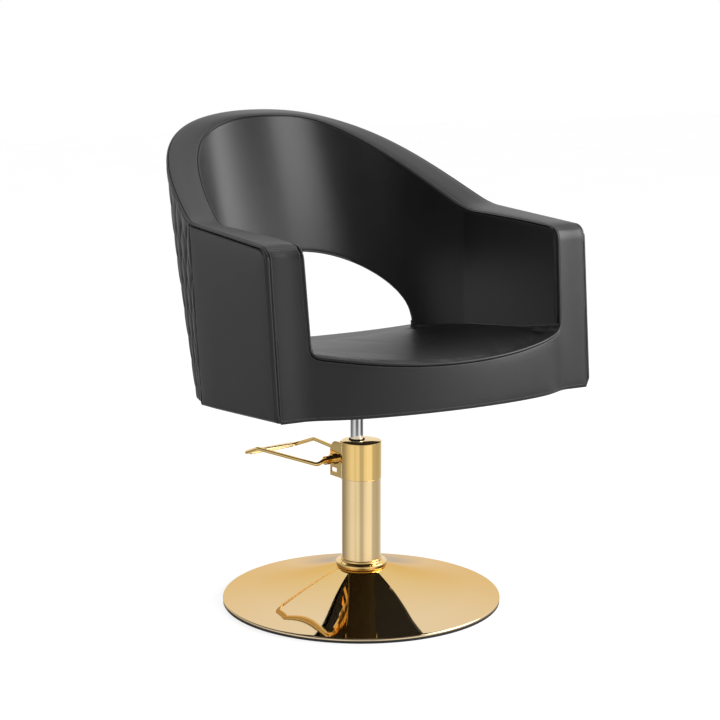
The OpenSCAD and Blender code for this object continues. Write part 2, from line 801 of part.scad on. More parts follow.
function arm_share(y) = (y + front_reach) / side_len;
function arm_top_z(y) = lerp(arm_z, seam_z, arm_share(y));
function arm_in_x(y) = half_w - lerp(arm_t_front, arm_t_rim, arm_share(y));
function arm_in_z(y) = arm_top_z(y) - rim_drop_side * pow(max(0, arm_share(y)), 2);
function arm_face_x(y, z) = lerp(inner_foot_x, arm_in_x(y), (z - tub_z) / (arm_in_z(y) - tub_z));

// Section of an arm: depth is how far its outer face is set in for the frame and panel
function arm_ring(y, depth, foot, shrink = 0) = round_ring([
    [half_w - depth, y, foot + shrink], [half_w - depth, y, arm_top_z(y) - roll_h],
    [half_w - shrink, y, arm_top_z(y) - roll_h], [half_w - shrink, y, arm_top_z(y) - shrink],
    [arm_in_x(y) + shrink, y, arm_in_z(y) - shrink],
    [arm_face_x(y, foot) + shrink, y, foot + shrink]], [0, 0, 0, edge_r, edge_r, 0]);

module arm() {
    y0 = -front_reach;
    y1 = y0 + front_lip;
    foot = board_top + set_gap;
    loft(concat([arm_ring(y0, edge_r / 2 + run_fit, tub_z, edge_r / 2),
        arm_ring(y0 + edge_r / 4, edge_r / 6 + run_fit, tub_z, edge_r / 6),
        arm_ring(y0 + edge_r, run_fit, tub_z), arm_ring(y1 - run_fit, run_fit, tub_z)],
        [for (i = [0:arm_steps]) arm_ring(lerp(y1, seam_y, i / arm_steps), arm_skin, foot)]),
        1, true);
}

module arm_left() {
    color("dimgray") in_tub() mirror([1, 0, 0]) arm();
}

module arm_right() {
    color("dimgray") in_tub() arm();
}

// A plate on the side of the tub between two depths
module side_plate(d0, d1) {
    y0 = -front_reach + front_lip + set_gap;
    y1 = seam_y - set_gap;
    translate([half_w - d1, 0, 0]) rotate([90, 0, 90]) linear_extrude(d1 - d0) polygon([
        [y0, tub_z], [y1, tub_z], [y1, arm_top_z(y1) - roll_h - set_gap],
        [y0, arm_top_z(y0) - roll_h - set_gap]]);
}

module side_frame_left() {
    color("burlywood") in_tub() mirror([1, 0, 0]) side_plate(panel_t, arm_skin - set_gap);
}

module side_frame_right() {
    color("burlywood") in_tub() side_plate(panel_t, arm_skin - set_gap);
}

module side_panel_left() {
    color("darkslategray") in_tub() mirror([1, 0, 0]) side_plate(0, panel_t);
}

module side_panel_right() {
    color("darkslategray") in_tub() side_plate(0, panel_t);
}

// Curved walls

// Section of a padded wall with its pocket for the shell and the quilt
function wall_ring(c, v, side = 1) = let (h = wall_h(c), top = 1 - roll_h / h, lip = v + lip_h / h,
    foot = wall(c, v, quilt_t, side), roll = wall(c, top, 0, side), outer = wall(c, 1, 0, side),
    inner = wall_share(c, 1, 1, side), low = wall_share(c, v, 1, side))
    concat([foot, wall(c, lip, quilt_t, side)],
        [for (i = [0:up_rows]) wall(c, lerp(lip, top, i / up_rows), skin, side)],
        [roll], corner(roll, outer, inner, edge_r), corner(outer, inner, low, edge_r),
        [for (i = [1:up_rows - 1]) wall_share(c, lerp(1, v, i / up_rows), 1, side)],
        corner(inner, low, foot, v > 0 ? edge_r : 0));

module wing() {
    loft([for (c = wing_cuts) wall_ring(c, 0)], up_rows + 2, true);
}

module wing_left() {
    color("dimgray") in_tub() mirror([1, 0, 0]) wing();
}

module wing_right() {
    color("dimgray") in_tub() wing();
}

module backrest() {
    color("dimgray") in_tub() loft([for (b = band) wall_ring(b[0], b[2], b[1])],
        up_rows + 2, true);
}

// Section of the plywood shell in the pocket
function shell_ring(c, v, side) = let (h = wall_h(c), low = v + (lip_h + set_gap) / h,
    top = 1 - (roll_h + set_gap) / h)
    concat([for (i = [0:up_rows]) wall(c, lerp(low, top, i / up_rows), skin - shell_gap, side)],
        [for (i = [0:up_rows]) wall(c, lerp(top, low, i / up_rows), quilt_t + set_gap, side)]);

// The same closed by strips instead of fans, because the section is thin. Its facets on the
// far half mirror those on the near half, as the two wings do
module shell(rings) {
    m = len(rings[0]);
    n = len(rings);
    sides = [for (i = [0:n - 2], j = [0:m - 1])
        let (a = i * m + j, b = i * m + (j + 1) % m) each i < n / 2
            ? [[a, b + m, b], [a, a + m, b + m]] : [[a, a + m, b], [b, a + m, b + m]]];
    lid = [for (j = [0:up_rows - 1]) each [[j, j + 1, m - 1 - j], [j + 1, m - 2 - j, m - 1 - j]]];
    far = [for (f = lid) [for (q = [2:-1:0]) f[q] + (n - 1) * m]];
    polyhedron([for (r = rings) each r], concat(sides, lid, far));
}

module back_shell() {
    color("burlywood") in_tub() shell(concat(
        [for (i = [0:wing_cells - 1]) shell_ring(wing_cuts[i], 0, 1)],
        [for (b = band) shell_ring(b[0], b[2], b[1])],
        [for (i = [1:wing_cells]) shell_ring(wing_cuts[wing_cells - i], 0, -1)]));
}

module rear_rail() {
    color("dimgray") in_tub() loft([for (i = [-rail_cells:rail_cells])
        let (c = rail_cuts[rail_cells - abs(i)], side = i < 0 ? 1 : -1,
            v = inner_v(c, sill_z(c[3][0])))
        round_ring([wall(c, 0, 0, side), wall(c, v, 0, side), wall_share(c, v, 1, side),
            wall_share(c, 0, 1, side)], [0, 2 * edge_r, 0, 0])], 0, true);
}

// Front and seat

module front_apron() {
    y1 = -front_reach + apron_t;
    color("dimgray") in_tub() loft([for (i = [0:2 * front_steps])
        let (x = across(i, 2 * front_steps), y = front_y(x), z = seat_front_z(x),
            low = x * (1 - set_gap / inner_foot_x),
            high = x * (arm_face_x(y1, z) - soft_gap) / inner_foot_x)
        round_ring([[low, y, tub_z], [high, y, z], [high, y + apron_t, z],
            [low, y + apron_t, tub_z]], [edge_r / 2, edge_r, 0, 0])]);
}

// A place on the seat's edge: s runs from the front along an arm and a wing to the arch
arm_bend = 0.55;
function wing_cut(s) = section((s - arm_bend) / (1 - arm_bend) * arch_t);
function edge_pt(s, z) = s < arm_bend
    ? let (y = lerp(-front_reach + apron_t, seam_y, s / arm_bend)) [arm_face_x(y, z), y]
    : let (p = inner_at(wing_cut(s), z)) [p[0], p[1]];
// A place on the seat's rear edge, along the sill: a runs from one side to the other
sill_cuts = [for (i = [0:seat_cols]) section(lerp(1, arch_t, abs(cos(180 * i / seat_cols))))];

function seat_z(a, s) = let (x = a * inner_foot_x)
    lerp(tub_z + seat_h + seat_rise * a * a, sill_z(x), s)
    + fillet_z(x) * (1 - pow(s, fade_power)) - 4 * seat_dish * s * (1 - s) * (1 - a * a);

// A point of the seat: i and j are its column and row, and z is its height
function seat_pt(i, j, z) = let (a = -cos(180 * i / seat_cols), s = j / seat_rows,
    x = a * inner_foot_x, edge = edge_pt(s, z), rear = inner_at(sill_cuts[i], z),
    bulge = pow(abs(a), 4), side = sign(a),
    front = [x * (arm_face_x(-front_reach + apron_t, z) - soft_gap) / inner_foot_x,
        front_y(x) + apron_t + set_gap],
    back = [side * rear[0], rear[1] - soft_gap],
    line = [lerp(front[0], back[0], s), lerp(front[1], back[1], s)],
    wide = [a * (edge[0] - soft_gap), lerp(line[1], edge[1], bulge)])
    s == 0 ? [front[0], front[1], z] : s == 1 ? [back[0], back[1], z]
        : [lerp(wide[0], line[0], pow(s, fade_power)), wide[1], z];

module seat_cushion() {
    color("dimgray") in_tub() slab(
        [for (i = [0:seat_cols]) [for (j = [0:seat_rows])
            seat_pt(i, j, seat_z(-cos(180 * i / seat_cols), j / seat_rows))]],
        [for (i = [0:seat_cols]) [for (j = [0:seat_rows]) seat_pt(i, j, board_top + run_fit)]]);
}

// Quilted panels

// Depth of a lattice point: stitched crossings and edges lie low, and puffs stand out
function puff(i, j, n, m) =
    (i + j) % 2 == 0 || i == 0 || j == 0 || i == n || j == m ? quilt_sink : 0;

// Grid of a quilted panel over places, each [section, side, v of the lower edge]
function quilt_grid(places, rows, back) = let (n = len(places) - 1)
    [for (i = [0:n]) let (b = places[i], top = 1 - (roll_h + set_gap) / wall_h(b[0]))
        [for (j = [0:rows]) wall(b[0], lerp(b[2], top, j / rows),
            back ? quilt_t - set_gap : puff(i, j, n, rows), b[1])]];

module quilt_wing() {
    places = [for (c = wing_cuts) [c, 1, 0]];
    slab(quilt_grid(places, wing_rows, false), quilt_grid(places, wing_rows, true), true);
}

module quilt_left() {
    color("black") in_tub() mirror([1, 0, 0]) quilt_wing();
}

module quilt_right() {
    color("black") in_tub() quilt_wing();
}

module quilt_back() {
    color("black") in_tub() slab(quilt_grid(band, back_rows, false),
        quilt_grid(band, back_rows, true), true);
}

base_cover();
base_plate();
floor_ring();
flange_ring();
foot_plug();
foot_bolts();
pump_tube();
pump_collar();
cylinder_tube();  // cylinder
pump_head();
rod_bush();
rod_seal();
pedal_bracket();
bracket_screws();
pedal_barrel();
pedal_rings();
pedal_loop();
pedal_sleeve();
pedal_lever();
pump_plunger();
piston();
piston_ring();
thrust_washer();
piston_rod();
seat_mount();
mount_bolts();
tee_nuts();
seat_board();
dust_cover();
side_frame_left();
side_frame_right();
back_shell();
arm_left();
arm_right();
side_panel_left();
side_panel_right();
wing_left();
wing_right();
backrest();
rear_rail();
front_apron();
seat_cushion();
quilt_left();
quilt_right();
quilt_back();
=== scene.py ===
"""Looks of the hairdressing chair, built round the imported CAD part."""
import json
import math

import bmesh
import bpy
import numpy as np
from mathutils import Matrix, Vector
from mathutils.kdtree import KDTree


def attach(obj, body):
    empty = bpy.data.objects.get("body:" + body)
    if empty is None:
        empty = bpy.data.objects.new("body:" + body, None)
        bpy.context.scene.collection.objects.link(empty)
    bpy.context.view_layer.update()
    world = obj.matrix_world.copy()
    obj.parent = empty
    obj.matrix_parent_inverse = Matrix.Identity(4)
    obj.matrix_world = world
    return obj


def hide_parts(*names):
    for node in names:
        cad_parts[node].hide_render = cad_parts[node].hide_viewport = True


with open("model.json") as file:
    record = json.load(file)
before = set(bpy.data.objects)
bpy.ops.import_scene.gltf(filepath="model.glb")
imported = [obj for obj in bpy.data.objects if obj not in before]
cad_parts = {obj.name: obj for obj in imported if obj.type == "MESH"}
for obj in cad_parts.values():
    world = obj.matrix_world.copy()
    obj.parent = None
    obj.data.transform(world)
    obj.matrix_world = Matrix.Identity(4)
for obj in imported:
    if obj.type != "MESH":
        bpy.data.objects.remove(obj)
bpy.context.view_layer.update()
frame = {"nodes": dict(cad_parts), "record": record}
NODES = frame["nodes"]
scene = bpy.context.scene
scene.view_settings.view_transform = "Standard"

# Camera

cam_data = bpy.data.cameras.new("camera")
cam = bpy.data.objects.new("camera", cam_data)
scene.collection.objects.link(cam)
cam.location = (-1.8111, -3.1759, 1.2012)
cam.rotation_euler = (math.radians(78.993), 0, math.radians(-29.695))
cam_data.sensor_width = 36
cam_data.lens = 94.08
cam_data.shift_x = -0.00177
cam_data.clip_end = 60
scene.camera = cam

# Materials


class Nodes:
    """A node tree, with short calls for the nodes used here."""

    def __init__(self, tree):
        self.tree = tree

    def node(self, kind, **inputs):
        made = self.tree.nodes.new(kind)
        for key, value in inputs.items():
            self.feed(made.inputs[key.replace("_", " ")], value)
        return made

    def feed(self, socket, value):
        if isinstance(value, bpy.types.NodeSocket):
            self.tree.links.new(value, socket)
        else:
            socket.default_value = value

    def pair(self, made, first, a, b):
        """Fill two sockets of a node, from the socket number first, and give its result."""
        self.feed(made.inputs[first], a)
        self.feed(made.inputs[first + 1], b)
        return made

    def math(self, operation, a, b=0.0):
        made = self.tree.nodes.new("ShaderNodeMath")
        made.operation = operation
        return self.pair(made, 0, a, b).outputs[0]

    def mix(self, factor, a, b):
        """Mix of two colours."""
        made = self.node("ShaderNodeMix")
        made.data_type = "RGBA"
        self.feed(made.inputs["Factor"], factor)
        return self.pair(made, 6, a, b).outputs[2]

    def either(self, factor, a, b):
        """Mix of two shader nodes."""
        return self.pair(self.node("ShaderNodeMixShader", Fac=factor), 1, a.outputs[0], b.outputs[0])

    def span(self, value, low, high, from_low=0.0, from_high=1.0):
        made = self.node("ShaderNodeMapRange", Value=value, To_Min=low, To_Max=high,
                         From_Min=from_low, From_Max=from_high)
        return made.outputs["Result"]


class Shader(Nodes):
    """A material on the object's own coordinates."""

    def __init__(self, name):
        self.mat = bpy.data.materials.new(name)
        self.mat.use_nodes = True
        super().__init__(self.mat.node_tree)
        self.bsdf = self.tree.nodes.get("Principled BSDF")
        self.coord = self.node("ShaderNodeTexCoord").outputs["Object"]

    def put(self, **values):
        for key, value in values.items():
            self.feed(self.bsdf.inputs[key.replace("_", " ")], value)

    def noise(self, scale, detail=3.0, rough=0.5, source=None):
        made = self.node("ShaderNodeTexNoise", Scale=scale, Detail=detail, Roughness=rough,
                         Vector=source or self.coord)
        return made.outputs["Fac"]

    def stretch(self, scale):
        return self.node("ShaderNodeMapping", Scale=scale, Vector=self.coord).outputs["Vector"]

    def blend(self, value, dark, light, low=0.3, high=0.7):
        made = self.node("ShaderNodeValToRGB", Fac=value)
        ends = made.color_ramp.elements
        ends[0].position, ends[0].color = low, (*dark, 1)
        ends[1].position, ends[1].color = high, (*light, 1)
        return made.outputs["Color"]

    def bump(self, height, strength, distance, normal=None):
        made = self.node("ShaderNodeBump", Strength=strength, Distance=distance, Height=height)
        if normal:
            self.feed(made.inputs["Normal"], normal)
        return made.outputs["Normal"]


def leather(name, tone=0.011, rough=(0.36, 0.44)):
    """Black leatherette: fine grain, pores, soft creases and a slightly paler tone on sharp convex edges."""
    s = Shader(name)
    mottle = s.noise(9, 4, 0.6)
    grain = s.node("ShaderNodeTexVoronoi", Scale=1150, Vector=s.coord).outputs["Distance"]
    base = s.blend(mottle, (tone * 0.8,) * 3, (tone * 1.2, tone * 1.2, tone * 1.25))
    # Base colour turns slightly paler where the mesh's pointiness marks sharp convex edges
    convex_paler = s.span(s.node("ShaderNodeNewGeometry").outputs["Pointiness"], 0.0, 0.4, 0.53, 0.62)
    s.put(Base_Color=s.mix(convex_paler, base, (tone * 3, tone * 3, tone * 3, 1)), IOR=1.5)
    blend = s.math("ADD", s.math("MULTIPLY", grain, 0.5), s.math("MULTIPLY", mottle, 0.5))
    s.put(Roughness=s.span(blend, *rough))
    normal = s.bump(s.noise(34, 5, 0.55), 0.10, 0.0020)
    normal = s.bump(s.noise(420, 4, 0.65), 0.34, 0.0004, normal)
    normal = s.bump(grain, 0.40, 0.00016, normal)
    normal = s.bump(s.noise(2600, 2, 0.6), 0.15, 0.00006, normal)
    s.put(Normal=normal)
    return s.mat


def gold(name, color, deep, rough, brushed=0.0):
    """Gold-coloured metal; brushed gives fine lines that run round or along the column."""
    s = Shader(name)
    s.put(Metallic=1.0, Base_Color=s.blend(s.noise(14), deep, color))
    s.put(Roughness=s.span(s.noise(220, 3, 0.6), rough * 0.75, rough * 1.3))
    height = s.noise(1.0, 4, 0.6, s.stretch((900, 900, 14) if brushed else (60, 60, 60)))
    s.put(Normal=s.bump(height, brushed or 0.012, 0.0002))
    return s.mat


def gold_base():
    """The trumpet's gold, a little deeper towards its crown: painted light, with the paler rim standing in
    for bright highlights and the deeper crown for light bounced off the gold column.
    """
    s = Shader("gold_base")
    radius = s.node("ShaderNodeVectorMath")
    radius.operation = "LENGTH"
    s.feed(radius.inputs[0], s.stretch((1, 1, 0)))
    # Painted light: paler and less saturated outwards, like bright highlights, and deeper and more saturated
    # near the crown, like light bounced off the gold column
    tone = s.blend(radius.outputs["Value"], (0.82, 0.58, 0.25), (0.86, 0.67, 0.42), 0.07, 0.22)
    s.put(Metallic=1.0, Base_Color=tone)
    s.put(Specular_Tint=(0.90, 0.70, 0.42, 1), Roughness=s.span(s.noise(220, 3, 0.6), 0.018, 0.032))
    s.put(Normal=s.bump(s.noise(60, 4, 0.6), 0.01, 0.0002))
    return s.mat


def plain(name, color, rough, metallic, grain, depth=0.0001, strength=0.3, vary=0.15):
    """A finish with mottled colour, uneven gloss and a fine bump."""
    s = Shader(name)
    dark = tuple(c * (1 - vary) for c in color)
    light = tuple(min(1, c * (1 + vary)) for c in color)
    s.put(Metallic=metallic, Base_Color=s.blend(s.noise(grain / 8, 4, 0.6), dark, light))
    fine = s.noise(grain, 4, 0.6)
    s.put(Roughness=s.span(fine, rough * 0.8, min(1, rough * 1.2)))
    s.put(Normal=s.bump(fine, strength, depth))
    return s.mat


def plywood():
    s = Shader("plywood")
    layers = s.noise(1.0, 3, 0.5, s.stretch((6, 6, 700)))
    fibre = s.noise(1.0, 5, 0.65, s.stretch((14, 220, 220)))
    mixed = s.math("ADD", s.math("MULTIPLY", layers, 0.5), s.math("MULTIPLY", fibre, 0.5))
    s.put(Base_Color=s.blend(mixed, (0.36, 0.22, 0.11), (0.62, 0.44, 0.26)))
    s.put(Roughness=s.span(fibre, 0.5, 0.75), Normal=s.bump(fibre, 0.3, 0.0002))
    return s.mat


M = {
    "black_leather": leather("black_leather"),
    "quilted_leather": leather("quilted_leather", rough=(0.36, 0.43)),
    "gold_polished": gold("gold_polished", (0.94, 0.66, 0.26), (0.91, 0.62, 0.23), 0.025),
    "gold_base": gold_base(),
    "gold_pale": gold("gold_pale", (0.94, 0.71, 0.39), (0.91, 0.68, 0.36), 0.10, 0.05),
    "plywood": plywood(),
}
# Name, colour, roughness, metallic, grain, and where they differ the bump's depth and strength, and mottling
for name, *look in (("thread", (0.085, 0.085, 0.09), 0.40, 0.0, 3000, 0.00005),
                    ("chrome_rod", (0.80, 0.80, 0.81), 0.05, 1.0, 900, 0.0001, 0.01, 0.03),
                    ("zinc_steel", (0.55, 0.55, 0.53), 0.32, 1.0, 700),
                    ("cast_iron", (0.06, 0.06, 0.06), 0.65, 0.6, 500, 0.0006, 0.6),
                    ("black_rubber", (0.012, 0.012, 0.012), 0.6, 0.0, 900),
                    ("bronze", (0.50, 0.30, 0.13), 0.35, 1.0, 900),
                    ("black_steel", (0.018, 0.018, 0.018), 0.42, 0.0, 1500, 0.00008),
                    ("black_cloth", (0.012, 0.012, 0.012), 0.9, 0.0, 2200, 0.0002, 0.6)):
    M[name] = plain(name, *look)

for entry in frame["record"]["subparts"]:
    mesh = NODES[entry["node"]].data
    mesh.materials.clear()
    mesh.materials.append(M[entry["material_slot"]])

# Meshes


def mesh_piece(name, patches, material, body, replaces=(), sharp=60, merge=1e-6):
    """One object from grids of points, each an array of (n, m, 3) in metres."""
    verts, faces, start = [], [], 0
    for grid in patches:
        n, m = grid.shape[:2]
        verts.append(grid.reshape(-1, 3))
        k = np.arange(n * m).reshape(n, m) + start
        faces.append(np.stack([k[:-1, :-1], k[1:, :-1], k[1:, 1:], k[:-1, 1:]], -1).reshape(-1, 4))
        start += n * m
    mesh = bpy.data.meshes.new(name)
    mesh.from_pydata(np.concatenate(verts).tolist(), [], np.concatenate(faces).tolist())
    bm = bmesh.new()
    bm.from_mesh(mesh)
    bmesh.ops.remove_doubles(bm, verts=bm.verts, dist=merge)
    bmesh.ops.dissolve_degenerate(bm, edges=bm.edges, dist=merge)
    bmesh.ops.recalc_face_normals(bm, faces=bm.faces)
    bm.to_mesh(mesh)
    bm.free()
    return finish_piece(name, mesh, material, body, replaces, sharp)


def finish_piece(name, mesh, material, body, replaces=(), sharp=60):
    mesh.materials.append(M[material])
    mesh.shade_smooth()
    mesh.set_sharp_from_angle(angle=math.radians(sharp))
    made = bpy.data.objects.new(name, mesh)
    scene.collection.objects.link(made)
    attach(made, body)
    if replaces:
        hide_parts(*replaces)
    return made


def lerp(a, b, share):
    return a + (b - a) * share


def bez(p, t):
    t = np.asarray(t, float)[..., None]
    p = np.asarray(p, float)
    return p[0] * (1 - t) ** 3 + p[1] * 3 * (1 - t) ** 2 * t + p[2] * 3 * (1 - t) * t * t + p[3] * t ** 3


def unit(v):
    v = np.asarray(v, float)
    return v / np.maximum(np.linalg.norm(v, axis=-1, keepdims=True), 1e-12)


def steps(*parts):
    """Rising values: each part is (start, end, count), and a start equal to the last end is dropped."""
    out = []
    for a, b, n in parts:
        run = np.linspace(a, b, n)
        out.append(run[1:] if out and abs(out[-1][-1] - a) < 1e-9 else run)
    return np.concatenate(out)


def run_along(points):
    """Distance of each point from the first, along the points."""
    return np.concatenate([[0], np.cumsum(np.linalg.norm(np.diff(points, axis=0), axis=1))])


def places(at, run, points):
    """Points at the distances at, along points whose own distances are run."""
    return np.stack([np.interp(at, run, points[:, i]) for i in range(3)], -1)


def rounding(d, r):
    """How far a surface falls away at the distance d from an edge of radius r."""
    d = np.clip(d, 0, r)
    return r - np.sqrt(np.maximum(0, r * r - (r - d) ** 2))


def round_corner(a, b, c, r, n=7):
    """Points of a soft corner at b."""
    u = b + unit(a - b) * r
    v = b + unit(c - b) * r
    k = np.linspace(0, 1, n)[:, None]
    return lerp(lerp(u, b, k), lerp(b, v, k), k)


def edge_distance(p, edge):
    """Least distance from points to a polyline."""
    flat = np.asarray(p, float).reshape(-1, 3)
    best = np.full(len(flat), 1e9)
    a, ab = edge[:-1], np.diff(edge, axis=0)
    squared = np.maximum((ab ** 2).sum(1), 1e-9)
    for i in range(0, len(flat), 2000):
        q = flat[i:i + 2000]
        t = np.clip(((q[:, None] - a) * ab).sum(2) / squared, 0, 1)
        best[i:i + 2000] = np.linalg.norm(q[:, None] - (a + ab * t[..., None]), axis=2).min(1)
    return best.reshape(np.shape(p)[:-1])


# The tub's own sizes, in mm: at the arms the covers are a little fuller than the part's solids

TURN = math.radians(8)
ROD_OFF = 14.5
LEAN = math.radians(5)
HALF_W, TUB_Z, FRONT, SIDE_LEN, BOW, BOW_POWER = 342.0, 428.5, 337.0, 323.0, 80.0, 0.6
ARM_H, ARM_RISE, ARM_T_FRONT, ARM_T_RIM, ARM_T_FOOT = 312.0, 40.0, 70.5, 68.5, 76.5
BACK_H, BACK_REACH, FOOT_REACH, BACK_T_RIM, BACK_T_FOOT = 567.0, 387.0, 218.0, 81.0, 78.0
ARCH_W, ARCH_H, ARCH_SPRING = 436.0, 266.0, 116.5
SEAT_H, SEAT_RISE, SEAT_FILLET, SEAT_DISH, SILL_H, SILL_EDGE = 88.0, 28.0, 13.0, 10.0, 83.5, 16.0
DROP_SIDE, DROP_BACK, TURN_POWER = 11.0, 13.0, 1.4
SEAM_Y = SIDE_LEN - FRONT
ARM_Z = TUB_Z + ARM_H
SEAM_Z = ARM_Z + ARM_RISE
RIM_Z = TUB_Z + BACK_H
IN_FOOT_X, IN_RIM_X = HALF_W - ARM_T_FOOT, HALF_W - ARM_T_RIM
IN_RIM_Y, IN_FOOT_Y = BACK_REACH - BACK_T_RIM, FOOT_REACH - BACK_T_FOOT
SPRING_Z, ARCH_TOP_Z = TUB_Z + ARCH_SPRING, TUB_Z + ARCH_H
UP = np.array([0.0, 0.0, 1.0])


def rail(half, reach, low, high, shares):
    """A curve from the seam to the middle of the back, from its control shares."""
    return [(half * x, lerp(SEAM_Y, reach, y), lerp(low, high, z)) for x, y, z in shares]


OUT_FOOT = rail(HALF_W, FOOT_REACH, TUB_Z, TUB_Z, ((1, 0, 0), (0.876, 0.3, 0), (1.02, 1, 0), (0, 1, 0)))
OUT_RIM = rail(HALF_W, BACK_REACH, SEAM_Z, RIM_Z,
               ((1, 0, 0), (0.907, 0.4, 0.345), (0.807, 1, 1), (0, 1, 1)))
IN_RIM = rail(IN_RIM_X, IN_RIM_Y, SEAM_Z - DROP_SIDE, RIM_Z - DROP_BACK,
              ((1, 0, 0), (0.758, 1.208, 0.977), (0.304, 1, 1), (0, 1, 1)))
IN_FOOT = rail(IN_FOOT_X, IN_FOOT_Y, TUB_Z, TUB_Z,
               ((1, 0, 0), (0.978, 0.675, 0), (0.709, 1, 0), (0, 1, 0)))

# Softer than the solids: the rim bends gently where the arms meet the back
KINK_OUT, KINK_OUT_LEN, KINK_IN, KINK_IN_LEN = 0.335, 16.0, 0.48, 26.0


def kink_lift(s, slope, length):
    """Height that softens a change of slope at s = 0."""
    u = abs(s) / length
    bell = math.exp(-u * u / 2) / math.sqrt(2 * math.pi)
    return slope * length * (bell - u / 2 * math.erfc(u / math.sqrt(2)))


def soften(c, s):
    c = np.array(c, float)
    c[1] += UP * kink_lift(s, KINK_OUT, KINK_OUT_LEN)
    along = (c[2] - c[3]) / (c[2][2] - c[3][2])
    c[2] += along * kink_lift(s, KINK_IN, KINK_IN_LEN)
    return c


# The arms' front edges lean back a little more than the rest
FRONT_LEAN, LEAN_Z = math.radians(0.9), 600.0
# Below DRAW_Z the sides draw in, the wings more than the arms; above it they go out by a small share
SIDE_DRAW, WING_DRAW, DRAW_Z, DRAW_H, OUT_SHARE = 2.6, 9.0, 700.0, 300.0, 0.15
WING_START, WING_LEN = SEAM_Y - 90.0, 200.0
# The lower edges are round within a strip along the sides
LOW_R, LOW_STRIP = 8.0, 60.0


def draw_in(p):
    """How far the sides come in at each point."""
    across, rise = np.abs(p[..., 0]), p[..., 2] - DRAW_Z
    outward = OUT_SHARE * (1 - np.exp(-np.maximum(rise, 0) / (OUT_SHARE * DRAW_H)))
    share = np.where(rise < 0, -rise / DRAW_H, -outward)
    wing = np.clip((p[..., 1] - WING_START) / WING_LEN, 0, 1)
    wing = wing * wing * (3 - 2 * wing)
    tuck = rounding(p[..., 2] - TUB_Z, LOW_R) * np.clip(1 - (HALF_W - across) / LOW_STRIP, 0, 1)
    return (SIDE_DRAW + WING_DRAW * wing) * share * across / HALF_W + tuck


def row(p):
    """Tub millimetres to row metres."""
    p = np.asarray(p, float)
    lean = (p[..., 2] - LEAN_Z) * math.tan(FRONT_LEAN) * np.clip((SEAM_Y - p[..., 1]) / SIDE_LEN, 0, 1)
    along = p[..., 1] + lean
    x = p[..., 0] - np.sign(p[..., 0]) * draw_in(p) - ROD_OFF * math.sin(TURN)
    y = along * math.cos(LEAN) + p[..., 2] * math.sin(LEAN)
    z = -along * math.sin(LEAN) + p[..., 2] * math.cos(LEAN)
    return np.stack([x, y, z], -1) / 1000


HALVINGS = 30


def bisect(above):
    """The share where above(share) turns from true to false."""
    low, high = 0.0, 1.0
    for _ in range(HALVINGS):
        mid = (low + high) / 2
        low, high = (mid, high) if above(mid) else (low, mid)
    return (low + high) / 2


def wall_section(t):
    """Outer foot, outer rim, inner rim and inner foot of the curved wall."""
    a, b = bez(OUT_FOOT, t), bez(OUT_RIM, t)
    turn = math.radians(90 * t ** TURN_POWER)
    across = np.cross(b - a, [-math.cos(turn), -math.sin(turn), 0])
    rim = bez(IN_RIM, bisect(lambda m: (bez(IN_RIM, m) - b) @ across > 0))
    foot = bez(IN_FOOT, bisect(lambda m: (bez(IN_FOOT, m) - a) @ across > 0))
    return soften([a, b, rim, foot], math.hypot(b[0] - HALF_W, b[1] - SEAM_Y))


def arm_section(y):
    s = (y + FRONT) / SIDE_LEN
    top = lerp(ARM_Z, SEAM_Z, s)
    rim = (HALF_W - lerp(ARM_T_FRONT, ARM_T_RIM, s), y, top - DROP_SIDE * max(0, s) ** 2)
    return soften([(HALF_W, y, TUB_Z), (HALF_W, y, top), rim, (IN_FOOT_X, y, TUB_Z)], y - SEAM_Y)


def face_at(c, z):
    """The inner face's point of a section at height z."""
    return lerp(c[3], c[2], (z - TUB_Z) / (c[2][2] - TUB_Z))


def arch_z(c):
    """Height at which a section meets the arch, which is half an ellipse."""
    rise = ARCH_TOP_Z - SPRING_Z

    def inside(m):
        return abs(face_at(c, SPRING_Z + rise * m)[0]) < ARCH_W / 2 * math.sqrt(1 - m * m)

    return SPRING_Z + rise * bisect(inside)


ARCH_T = bisect(lambda m: face_at(wall_section(m), SPRING_Z)[0] > ARCH_W / 2)


class Station:
    """One section of the wall along its path, from the right arm's front to the left one's."""

    def __init__(self, c, side, kind):
        self.side, self.kind = side, kind
        c = np.array(c, float)
        z = arch_z(c) if kind == "back" else SPRING_Z
        self.split = (z - TUB_Z) / (c[2][2] - TUB_Z)
        self.c = c * [side, 1, 1]
        self.height = c[1][2] - TUB_Z
        self.front = c[0][1] + FRONT

    def share(self, v, s):
        v = np.asarray(v, float)[..., None]
        outer, inner = lerp(self.c[0], self.c[1], v), lerp(self.c[3], self.c[2], v)
        return lerp(outer, inner, np.asarray(s, float)[..., None])

    def deep(self, v, depth):
        v = np.asarray(v, float)
        thick = np.linalg.norm(self.share(v, np.ones_like(v)) - self.share(v, np.zeros_like(v)), axis=-1)
        return self.share(v, np.asarray(depth, float) / thick)


def walk(arm_places, wing_n, back_n, wing_power=1.0, back_power=1.3):
    """Stations all the way round, mirrored about the middle of the back."""
    half = [(arm_section(y), "arm") for y in arm_places]
    half += [(wall_section(t), "wing") for t in ARCH_T * np.linspace(0, 1, wing_n)[:-1] ** wing_power]
    half.append((wall_section(ARCH_T), "spring"))
    half += [(wall_section(t), "back") for t in lerp(ARCH_T, 1, np.linspace(0, 1, back_n)[1:] ** back_power)]
    right = [Station(c, 1, kind) for c, kind in half]
    left = [Station(c, -1, kind) for c, kind in half[:-1]]
    return right + left[::-1]


LEG_POINTS = 40


